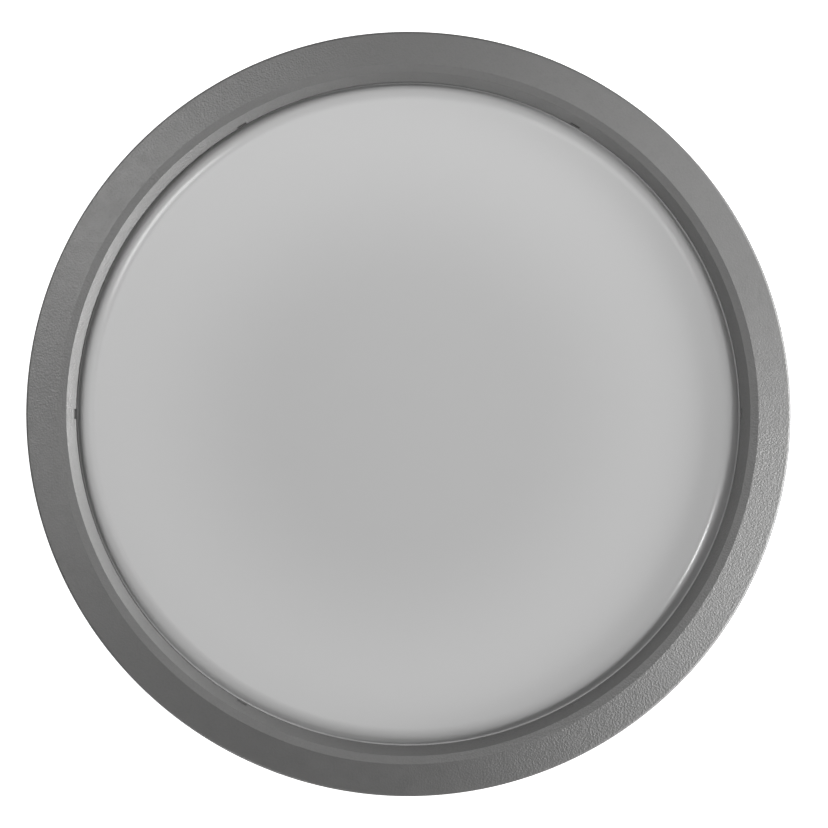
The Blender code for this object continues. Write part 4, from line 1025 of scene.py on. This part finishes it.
def selector_switch():
    """The colour-temperature switch: a body with a channel and three marks, and a ridged knob."""
    centre, size = middle("selector_switch")
    knob_centre, knob_size = middle("selector_knob")
    made = block_object("selector_switch_visual", size, centre, 0.35 * MM, look_of("black_plastic"))
    cuts = bmesh.new()
    channel = (knob_size.x + 0.6 * MM, knob_size.y + 5.6 * MM, 6 * MM)
    floor_z = centre.z - size.z / 2 + 1.6 * MM
    add_block(cuts, channel, (centre.x, centre.y, floor_z + channel[2] / 2), 0.2 * MM)
    for stop in (-1, 0, 1):
        mark = (centre.x + size.x / 2 - 1.2 * MM, centre.y + stop * 2.5 * MM, centre.z + size.z / 2)
        add_block(cuts, (1.4 * MM, 0.5 * MM, 0.5 * MM), mark, 0)
    carve(made, "DIFFERENCE", cuts)
    settle(made, "pan", "black_plastic", "selector_switch")
    knob = block_object("selector_knob_visual", knob_size, knob_centre, 0.3 * MM, look_of("white_plastic"))
    cuts = bmesh.new()
    for ridge in (-1, 0, 1):
        groove = (knob_centre.x, knob_centre.y + ridge * 0.9 * MM, knob_centre.z + knob_size.z / 2)
        add_block(cuts, (5 * MM, 0.4 * MM, 0.6 * MM), groove, 0)
    carve(knob, "DIFFERENCE", cuts)
    settle(knob, "selector", "white_plastic", "selector_knob")


# ---------------------------------------------------------------- driver, terminal block and clamp


def driver():
    """The driver's case with rounded ears and vents, its lid, and the board inside with its parts."""
    lid_centre, lid_size = middle("driver_lid")
    low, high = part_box("driver_case")
    width, depth = lid_size.x, lid_size.y
    centre = Vector((lid_centre.x, lid_centre.y, (low.z + high.z) / 2))
    height = high.z - low.z
    wall = DRIVER_WALL
    case_size = (width, depth, height)
    case = block_object("driver_case_visual", case_size, centre, 1.2 * MM, look_of("white_plastic"))
    inside = bmesh.new()
    hollow = (width - 2 * wall, depth - 2 * wall, height * 2)
    add_block(inside, hollow, (centre.x, centre.y, low.z + wall + height), 0.8 * MM)
    carve(case, "DIFFERENCE", inside)
    ears = bmesh.new()
    half = DRIVER_EAR_THICK / 2
    ear_z = DRIVER_POST_Z + GAP + half
    for number, side in ((1, -1), (2, 1)):
        place = middle(f"driver_screw_{number}")[0]
        face = centre.x + side * (width / 2 - wall / 2)
        bridge = (abs(place.x - face), 2 * DRIVER_EAR_RADIUS, DRIVER_EAR_THICK)
        add_block(ears, bridge, ((place.x + face) / 2, place.y, ear_z), 0)
        add_drum(ears, DRIVER_EAR_RADIUS, ear_z - half, ear_z + half, placed(place.xy), 0.25 * MM)
    carve(case, "UNION", ears, crossing=True)
    cuts = bmesh.new()
    for number in (1, 2):
        place = middle(f"driver_screw_{number}")[0]
        add_bore(cuts, SCREW_HOLE, ear_z - 3 * MM, ear_z + half, placed(place.xy))
    depth_of_hole = 3 * MM
    for side in (-1, 1):
        x = centre.x + side * (width / 2)
        for y in (-LEAD_SPACING, LEAD_SPACING):
            start = Vector((x - side * depth_of_hole, centre.y + DRIVER_LEAD_Y + y, low.z + DRIVER_LEAD_Z))
            outwards = pointed(start, start + Vector((side, 0, 0)))
            add_bore(cuts, WIRE_RADIUS + GAP, 0, depth_of_hole, outwards, turn=PIN_TURN)
    for slot in range(7):
        for side in (-1, 1):
            vent = (centre.x - 18 * MM + slot * 6 * MM, centre.y + side * depth / 2, centre.z)
            add_block(cuts, (1.4 * MM, 1.4 * MM, 7 * MM), vent, 0)
    carve(case, "DIFFERENCE", cuts)
    settle(case, "pan", "white_plastic", "driver_case")
    driver_lid(lid_centre, lid_size, wall)
    driver_board()


def driver_lid(centre, size, wall):
    """A plate with a register that drops into the case, cooling slots and a flat for a rating plate."""
    top = centre.z + size.z / 2
    low = top - wall
    plate = (size.x, size.y, wall)
    plate_centre = (centre.x, centre.y, low + wall / 2)
    lid = block_object("driver_lid_visual", plate, plate_centre, 0.5 * MM, look_of("white_plastic"))
    register = bmesh.new()
    inner = wall + GAP
    bottom = centre.z - size.z / 2
    skirt = (size.x - 2 * inner, size.y - 2 * inner, low - bottom + 0.4 * MM)
    add_block(register, skirt, (centre.x, centre.y, bottom + skirt[2] / 2), 0)
    carve(lid, "UNION", register)
    cuts = bmesh.new()
    for column in range(6):
        for row in (-1, 1):
            place = (centre.x - 20 * MM + column * 8 * MM, centre.y + row * 11 * MM, top)
            add_block(cuts, (1.6 * MM, 9 * MM, 1.4 * MM), place, 0.3 * MM)
    add_block(cuts, (26 * MM, 8 * MM, 0.5 * MM), (centre.x + 26 * MM, centre.y, top), 0.2 * MM)
    carve(lid, "DIFFERENCE", cuts)
    settle(lid, "pan", "white_plastic", "driver_lid")


def driver_board():
    """The board with its chips, the transformer's core and wound coil, and the grooved capacitor."""
    centre, size = middle("driver_board")
    board = block_object("driver_board_visual", size, centre, 0.15 * MM, green_board())
    settle(board, "pan", "green_board", "driver_board")
    chips = bmesh.new()
    top = centre.z + size.z / 2
    for column in range(6):
        across = centre.y - 12 * MM + (column % 2) * 4 * MM
        chip = (centre.x - 36 * MM + column * 5.5 * MM, across, top + 0.4 * MM)
        add_block(chips, (3.2 * MM, 1.8 * MM, 0.8 * MM), chip, 0.15 * MM)
    controller = (centre.x - 16 * MM, centre.y + 6 * MM, top + 0.8 * MM)
    add_block(chips, (6 * MM, 5 * MM, 1.6 * MM), controller, 0.2 * MM)
    settle(new_object("driver_chips", chips, look_of("black_plastic")), "pan", "black_plastic")
    centre, size = middle("driver_transformer")
    core = bmesh.new()
    for side in (-1, 1):
        leg = (size.x, size.y * 0.2, size.z)
        add_block(core, leg, (centre.x, centre.y + side * size.y * 0.4, centre.z), 0.3 * MM)
    add_block(core, (size.x * 0.28, size.y, size.z), centre, 0.3 * MM)
    settle(new_object("transformer_core", core, look_of("ferrite")), "pan", "black_plastic")
    coil = (size.x * 0.9, size.y * 0.58, size.z * 0.86)
    wound = block_object("driver_transformer_visual", coil, centre, 1.4 * MM, look_of("tape_wrap"), 5)
    settle(wound, "pan", "tape_wrap", "driver_transformer")
    centre, size = middle("driver_capacitor")
    low = centre.z - size.z / 2
    radius = size.x / 2
    can = [
        (0, low, 0),
        (radius * 0.94, low, 0.3 * MM),
        (radius, low + 0.9 * MM, 0.2 * MM),
        (radius, low + 4.4 * MM, 0.2 * MM),
        (radius * 0.9, low + 4.9 * MM, 0.2 * MM),
        (radius, low + 5.4 * MM, 0.2 * MM),
        (radius, low + size.z, 0.6 * MM),
        (radius * 0.8, low + size.z, 0.1 * MM),
        (radius * 0.78, low + size.z - 0.15 * MM, 0.1 * MM),
        (0, low + size.z - 0.15 * MM, 0),
    ]
    made = turned_object(
        "driver_capacitor_visual", can, look_of("black_plastic"), CAP_TURN, placed(centre.xy), 3
    )
    settle(made, "pan", "black_plastic", "driver_capacitor")


def terminal_block():
    """A push-button block: wire funnels on both sides, probe holes, grooves between poles, and buttons."""
    centre, size = middle("terminal_block")
    top = centre.z + size.z / 2
    block = block_object("terminal_block_visual", size, centre, 0.6 * MM, look_of("white_plastic"))
    cuts = bmesh.new()
    for pole in POLES:
        button, extent = middle(f"button_{pole}")
        pocket = (extent.x + 2 * GAP, extent.y + 2 * GAP, extent.z * 2)
        add_block(cuts, pocket, (button.x, button.y, top - extent.z + pocket[2] / 2), 0)
        for side in (-1, 1):
            mouth = Vector((centre.x + side * size.x / 2, button.y, centre.z - size.z / 2 + TERMINAL_LEAD_Z))
            start = mouth - Vector((side * 6 * MM, 0, 0))
            add_bore(cuts, 1.7 * MM, 0, 6 * MM, pointed(start, mouth), 0.8 * MM)
            probe = placed((centre.x + side * 8 * MM, button.y))
            add_bore(cuts, 0.8 * MM, top - 5 * MM, top, probe, 0.3 * MM, 20)
    for side in (-0.5, 0.5):
        groove_y = centre.y + side * POLE_PITCH
        add_block(cuts, (size.x + 2 * MM, 0.6 * MM, 1.2 * MM), (centre.x, groove_y, top), 0)
    carve(block, "DIFFERENCE", cuts)
    settle(block, "pan", "white_plastic", "terminal_block")
    for pole in POLES:
        button, extent = middle(f"button_{pole}")
        made = block_object(f"button_{pole}_visual", extent, button, 0.45 * MM, look_of("orange_plastic"))
        slot = bmesh.new()
        face = (button.x, button.y, button.z + extent.z / 2)
        add_block(slot, (3.4 * MM, 0.9 * MM, 1.6 * MM), face, 0.1 * MM)
        carve(made, "DIFFERENCE", slot)
        settle(made, f"{pole}_button", "orange_plastic", f"button_{pole}")


def cable_clamp():
    """A bar with round ends, a raised saddle and gripping teeth beneath it."""
    low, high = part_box("cable_clamp")
    centre, size = middle("cable_clamp")
    width = size.x
    bar_top = low.z + CLAMP_BAR
    bar_size = (width, size.y - width, CLAMP_BAR)
    bar_centre = (centre.x, centre.y, low.z + CLAMP_BAR / 2)
    bar = block_object("cable_clamp_visual", bar_size, bar_centre, 0.3 * MM, look_of("black_plastic"))
    growths = bmesh.new()
    for side in (-1, 1):
        end = (centre.x, centre.y + side * (size.y - width) / 2)
        add_drum(growths, width / 2, low.z, bar_top, placed(end), 0.3 * MM)
    saddle = (7 * MM, 10 * MM, high.z - low.z - 1 * MM)
    add_block(growths, saddle, (centre.x, centre.y, high.z - saddle[2] / 2), 0.8 * MM)
    carve(bar, "UNION", growths)
    cuts = bmesh.new()
    for number in (1, 2):
        place = placed(middle(f"clamp_screw_{number}")[0].xy)
        add_bore(cuts, SCREW_HOLE, low.z - PAST, bar_top, place)
    for tooth in (-1, 0, 1):
        groove = (centre.x + tooth * 2.2 * MM, centre.y, low.z)
        add_block(cuts, (0.9 * MM, 9 * MM, 0.9 * MM), groove, 0)
    carve(bar, "DIFFERENCE", cuts)
    settle(bar, "pan", "black_plastic", "cable_clamp")


# ---------------------------------------------------------------- fasteners and wires


def screw(node):
    """A pan-head screw with a cross recess and a ridged shank, in the place of a CAD screw."""
    low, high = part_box(node)
    centre = (low + high) / 2
    head_radius = (high.x - low.x) / 2
    head = 1.6 * MM if head_radius < 3.0 * MM else 2.0 * MM
    seat = high.z - head
    core, crest = 1.02 * MM, 1.3 * MM
    pitch = 0.7 * MM
    turns = int((seat - low.z - crest) / pitch)
    points = [(0, low.z, 0)]
    for turn in range(turns):
        root = low.z + crest + turn * pitch
        points += [(core, root, 0), (crest, root + pitch * 0.5, 0.05 * MM)]
    points += [
        (core, seat - 0.1 * MM, 0),
        (crest, seat, 0.1 * MM),
        (head_radius, seat, 0.15 * MM),
        (head_radius, seat + head * 0.5, 0.5 * MM),
        (head_radius * 0.7, high.z, 1.2 * MM),
        (0, high.z, 0),
    ]
    made = turned_object(f"{node}_visual", points, plated_steel(), 32, placed(centre.xy), 3)
    recess = bmesh.new()
    arm = (head_radius * 1.15, 0.75 * MM, 2.2 * MM)
    for heading in (20, 110):
        add_block(recess, arm, (*centre.xy, high.z), 0.1 * MM, heading, 1)
    carve(made, "DIFFERENCE", recess, crossing=True)
    settle(made, "pan", "plated_steel", node)


def earth_bond():
    """The ring tag with its crimped barrel, and the hexagon nut under it."""
    low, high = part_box("earth_tag")
    nut, nut_size = middle("earth_nut")
    centre = Vector((*nut.xy, 0))
    inside = SCREW_HOLE
    tag = [
        (inside, low.z, 0.1 * MM),
        (TAG_RADIUS, low.z, 0.2 * MM),
        (TAG_RADIUS, high.z, 0.2 * MM),
        (inside, high.z, 0.1 * MM),
    ]
    data = bmesh.new()
    add_turned(data, eased(tag, 2), SMALL_TURN, closed=True, place=placed(centre))
    made = new_object("earth_tag_visual", data, plated_steel())
    neck = bmesh.new()
    reach = centre.x - 3 * MM - low.x
    neck_centre = (low.x + reach / 2, centre.y, (low.z + high.z) / 2)
    add_block(neck, (reach, 3 * MM, high.z - low.z), neck_centre, 0.25 * MM)
    carve(made, "UNION", neck)
    dents = bmesh.new()
    for dent in (1, 2):
        dent_centre = (low.x + dent * 2.0 * MM, centre.y, high.z)
        add_block(dents, (1.0 * MM, 1.6 * MM, 0.5 * MM), dent_centre, 0.1 * MM)
    carve(made, "DIFFERENCE", dents)
    settle(made, "pan", "plated_steel", "earth_tag")
    half = nut_size.z / 2
    bottom, top = nut.z - half, nut.z + half
    data = bmesh.new()
    radius = NUT_RADIUS
    add_turned(data, [(0, bottom), (radius, bottom), (radius, top), (0, top)], 6, place=placed(centre))
    made = new_object("earth_nut_visual", data, plated_steel())
    cone = bmesh.new()
    section = [
        (0, bottom - 0.1 * MM),
        (radius * 0.9, bottom - 0.1 * MM),
        (radius * 1.02, bottom + 0.5 * MM),
        (radius * 1.02, top - 0.5 * MM),
        (radius * 0.9, top + 0.1 * MM),
        (0, top + 0.1 * MM),
    ]
    add_turned(cone, section, CAP_TURN, place=placed(centre))
    carve(made, "INTERSECT", cone)
    bore = bmesh.new()
    add_bore(bore, inside, bottom - PAST, top, placed(centre), 0.3 * MM)
    carve(made, "DIFFERENCE", bore)
    settle(made, "pan", "plated_steel", "earth_nut")


def tube(name, route, slot):
    """An insulated wire whose smooth curve runs through the route's points."""
    points = [Vector(point) for point in route]
    points = [points[0] * 2 - points[1], *points, points[-1] * 2 - points[-2]]
    smooth = []
    steps = 8
    for index in range(1, len(points) - 2):
        before, start, end, after = points[index - 1 : index + 3]
        for step in range(steps):
            share = step / steps
            linear = (end - before) * share
            square = (2 * before - 5 * start + 4 * end - after) * share**2
            cube = (3 * start - before - 3 * end + after) * share**3
            smooth.append(0.5 * (2 * start + linear + square + cube))
    smooth.append(points[-2])
    curve = bpy.data.curves.new(name, "CURVE")
    curve.dimensions = "3D"
    curve.bevel_depth = WIRE_RADIUS
    curve.bevel_resolution = 5
    curve.use_fill_caps = True
    curve.twist_mode = "MINIMUM"
    spline = curve.splines.new("POLY")
    spline.points.add(len(smooth) - 1)
    for knot, point in zip(spline.points, smooth):
        knot.co = (*point, 1.0)
    drawn = bpy.data.objects.new(f"{name}_drawn", curve)
    bpy.context.collection.objects.link(drawn)
    bpy.context.view_layer.update()
    data = bmesh.new()
    evaluated = drawn.evaluated_get(bpy.context.evaluated_depsgraph_get())
    data.from_mesh(bpy.data.meshes.new_from_object(evaluated))
    bpy.data.objects.remove(drawn)
    bmesh.ops.remove_doubles(data, verts=data.verts, dist=0.001 * MM)
    settle(new_object(f"{name}_visual", data, look_of(slot)), "pan", slot, name)


def wires():
    """Mains leads to the driver, the earth lead to its tag, and the LED leads up through the bush."""
    block, block_size = middle("terminal_block")
    block_face = block.x + block_size.x / 2
    block_z = block.z - block_size.z / 2 + TERMINAL_LEAD_Z
    poles = {pole: middle(f"button_{pole}")[0].y for pole in POLES}
    driver_centre, driver_size = middle("driver_lid")
    driver_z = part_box("driver_case")[0].z + DRIVER_LEAD_Z
    holes = [driver_centre.y + DRIVER_LEAD_Y + side * LEAD_SPACING for side in (-1, 1)]
    driver_x = driver_centre.x + driver_size.x / 2
    for index, pole in enumerate(("line", "neutral")):
        y, far = poles[pole], holes[index]
        spread_out = index * 4 * MM
        route = [
            (block_face - 4 * MM, y, block_z),
            (block_face + 4 * MM, y, block_z),
            (76 * MM - spread_out, y - 10 * MM, 8 * MM),
            (80 * MM - spread_out, 22 * MM, 6.4 * MM),
            (80 * MM - spread_out, -14 * MM, 7 * MM),
            (74 * MM - spread_out, far + 14 * MM, 11 * MM),
            (62 * MM - spread_out, far + 2 * MM, driver_z),
            (driver_x + 4 * MM, far, driver_z),
            (driver_x - 1 * MM, far, driver_z),
        ]
        tube(f"wire_{pole}", route, f"{pole}_cover")
    tag = middle("earth_nut")[0]
    low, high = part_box("earth_tag")
    tag_z = (low.z + high.z) / 2 - 1.6 * MM
    route = [
        (block_face - 4 * MM, poles["earth"], block_z),
        (block_face + 5 * MM, poles["earth"], block_z),
        (60 * MM, 46 * MM, 12 * MM),
        (74 * MM, 30 * MM, 17 * MM),
        (84 * MM, 18 * MM, tag_z),
        (tag.x - 11 * MM, tag.y, tag_z),
    ]
    tube("wire_earth", route, "earth_cover")
    connector, connector_size = middle("board_connector")
    face = connector.x - connector_size.x / 2
    driver_x = driver_centre.x - driver_size.x / 2
    for side, name in ((1, "led_plus"), (-1, "led_minus")):
        start = holes[0 if side > 0 else 1]
        outside = 1.6 * MM * (1 + side)
        y = side * connector_size.y / 4
        route = [
            (driver_x + 1 * MM, start, driver_z),
            (driver_x - 4 * MM, start, driver_z),
            (driver_x - 7 * MM - outside, start + 5 * MM, driver_z - 1 * MM),
            (driver_x - 5 * MM - outside, -22 * MM + side * 1.6 * MM, 11 * MM),
            (-30 * MM, -12 * MM + side * 1.8 * MM, 11 * MM),
            (-9 * MM, -2 * MM + side * 1.6 * MM, 13 * MM),
            (0.0, side * 1.3 * MM, TRAY_Z),
            (5 * MM, side * 1.3 * MM, TRAY_Z + 8 * MM),
            (20 * MM, side * 2.0 * MM, TRAY_Z + 9 * MM),
            (34 * MM, y, connector.z + 0.6 * MM),
            (face - 3 * MM, y, connector.z),
            (face + 2.5 * MM, y, connector.z),
        ]
        tube(f"wire_{name}", route, f"{name}_cover")


# ---------------------------------------------------------------- studio


def camera():
    """Looks straight down at the light; the camera's width is what it sees at the ring's outer edge."""
    data = bpy.data.cameras.new("camera")
    data.sensor_width = 36
    data.lens = data.sensor_width * CAMERA_DISTANCE / CAMERA_WIDTH
    data.clip_end = 20
    made = bpy.data.objects.new("camera", data)
    made.location = (CAMERA_SHIFT, 0.0, OUTLINE_Z + CAMERA_DISTANCE)
    bpy.context.collection.objects.link(made)
    bpy.context.scene.camera = made


def floor():
    """A white sheet that glows enough to stay white, and that the light's glossy pieces don't mirror."""
    data = bmesh.new()
    bmesh.ops.create_circle(data, cap_ends=True, segments=64, radius=6.0)
    look, _, shader = shader_of("floor_look")
    shader.inputs["Base Color"].default_value = (0.8, 0.8, 0.8, 1)
    shader.inputs["Roughness"].default_value = 0.9
    shader.inputs["Emission Color"].default_value = (1, 1, 1, 1)
    shader.inputs["Emission Strength"].default_value = 0.95
    made = new_object("floor", data, look)
    made.visible_glossy = False


def world():
    """A pale surround that is bright to look at and dim as a light."""
    scene_world = bpy.data.worlds.new("studio")
    scene_world.use_nodes = True
    nodes, links = scene_world.node_tree.nodes, scene_world.node_tree.links
    seen = nodes["Background"]
    seen.inputs["Color"].default_value = (1, 1, 1, 1)
    lit = nodes.new("ShaderNodeBackground")
    lit.inputs["Color"].default_value = (1, 1, 1, 1)
    lit.inputs["Strength"].default_value = 0.03
    mix = nodes.new("ShaderNodeMixShader")
    path = nodes.new("ShaderNodeLightPath")
    links.new(path.outputs["Is Camera Ray"], mix.inputs[0])
    links.new(lit.outputs[0], mix.inputs[1])
    links.new(seen.outputs[0], mix.inputs[2])
    links.new(mix.outputs[0], nodes["World Output"].inputs["Surface"])
    bpy.context.scene.world = scene_world
    bpy.context.scene.view_settings.view_transform = "Standard"


def lamp(name, azimuth, elevation, size, strength):
    """A soft round lamp aimed at the light; strength is the brightness it gives a white face turned to it."""
    aim = Vector((0, 0, LAMP_AIM_Z))
    data = bpy.data.lights.new(name, "AREA")
    data.shape = "DISK"
    data.size = size
    data.energy = strength * (math.pi * LAMP_DISTANCE) ** 2
    made = bpy.data.objects.new(name, data)
    tilt = math.radians(elevation)
    across, up = LAMP_DISTANCE * math.cos(tilt), LAMP_DISTANCE * math.sin(tilt)
    made.location = aim + polar(across, azimuth, up)
    made.rotation_euler = (aim - made.location).to_track_quat("-Z", "Y").to_euler()
    made.visible_camera = False
    bpy.context.collection.objects.link(made)


def lamps():
    """A long low bank on the right rakes the face and fills the left wall; high soft lamps light the rest."""
    low = 6.5
    lamp("bank_lower", 322, low, 0.6, 0.54)
    lamp("bank_middle", 345, low, 0.5, 0.52)
    lamp("bank_centre", 5, low, 0.5, 0.54)
    lamp("bank_upper", 25, low, 0.5, 0.27)
    lamp("edge", 245, low, 0.5, 0.16)
    lamp("high_right", 335, 38, 0.28, 0.18)
    lamp("high_left", 142, 42, 0.7, 0.32)
    lamp("back_left", 190, 52, 0.9, 0.14)
    lamp("back_right", 50, 52, 0.9, 0.15)
    lamp("overhead", 90, 70, 0.9, 0.08)


for build in (trim_ring, diffuser, seals, base_housing, rubber_parts, side_plugs, gear_tray, led_board):
    build()
for build in (board_connector, selector_switch, driver, terminal_block, cable_clamp, earth_bond):
    build()
for cad_node in sorted(frame["nodes"]):
    if "_screw" in cad_node:
        screw(cad_node)
wires()
camera()
floor()
world()
lamps()
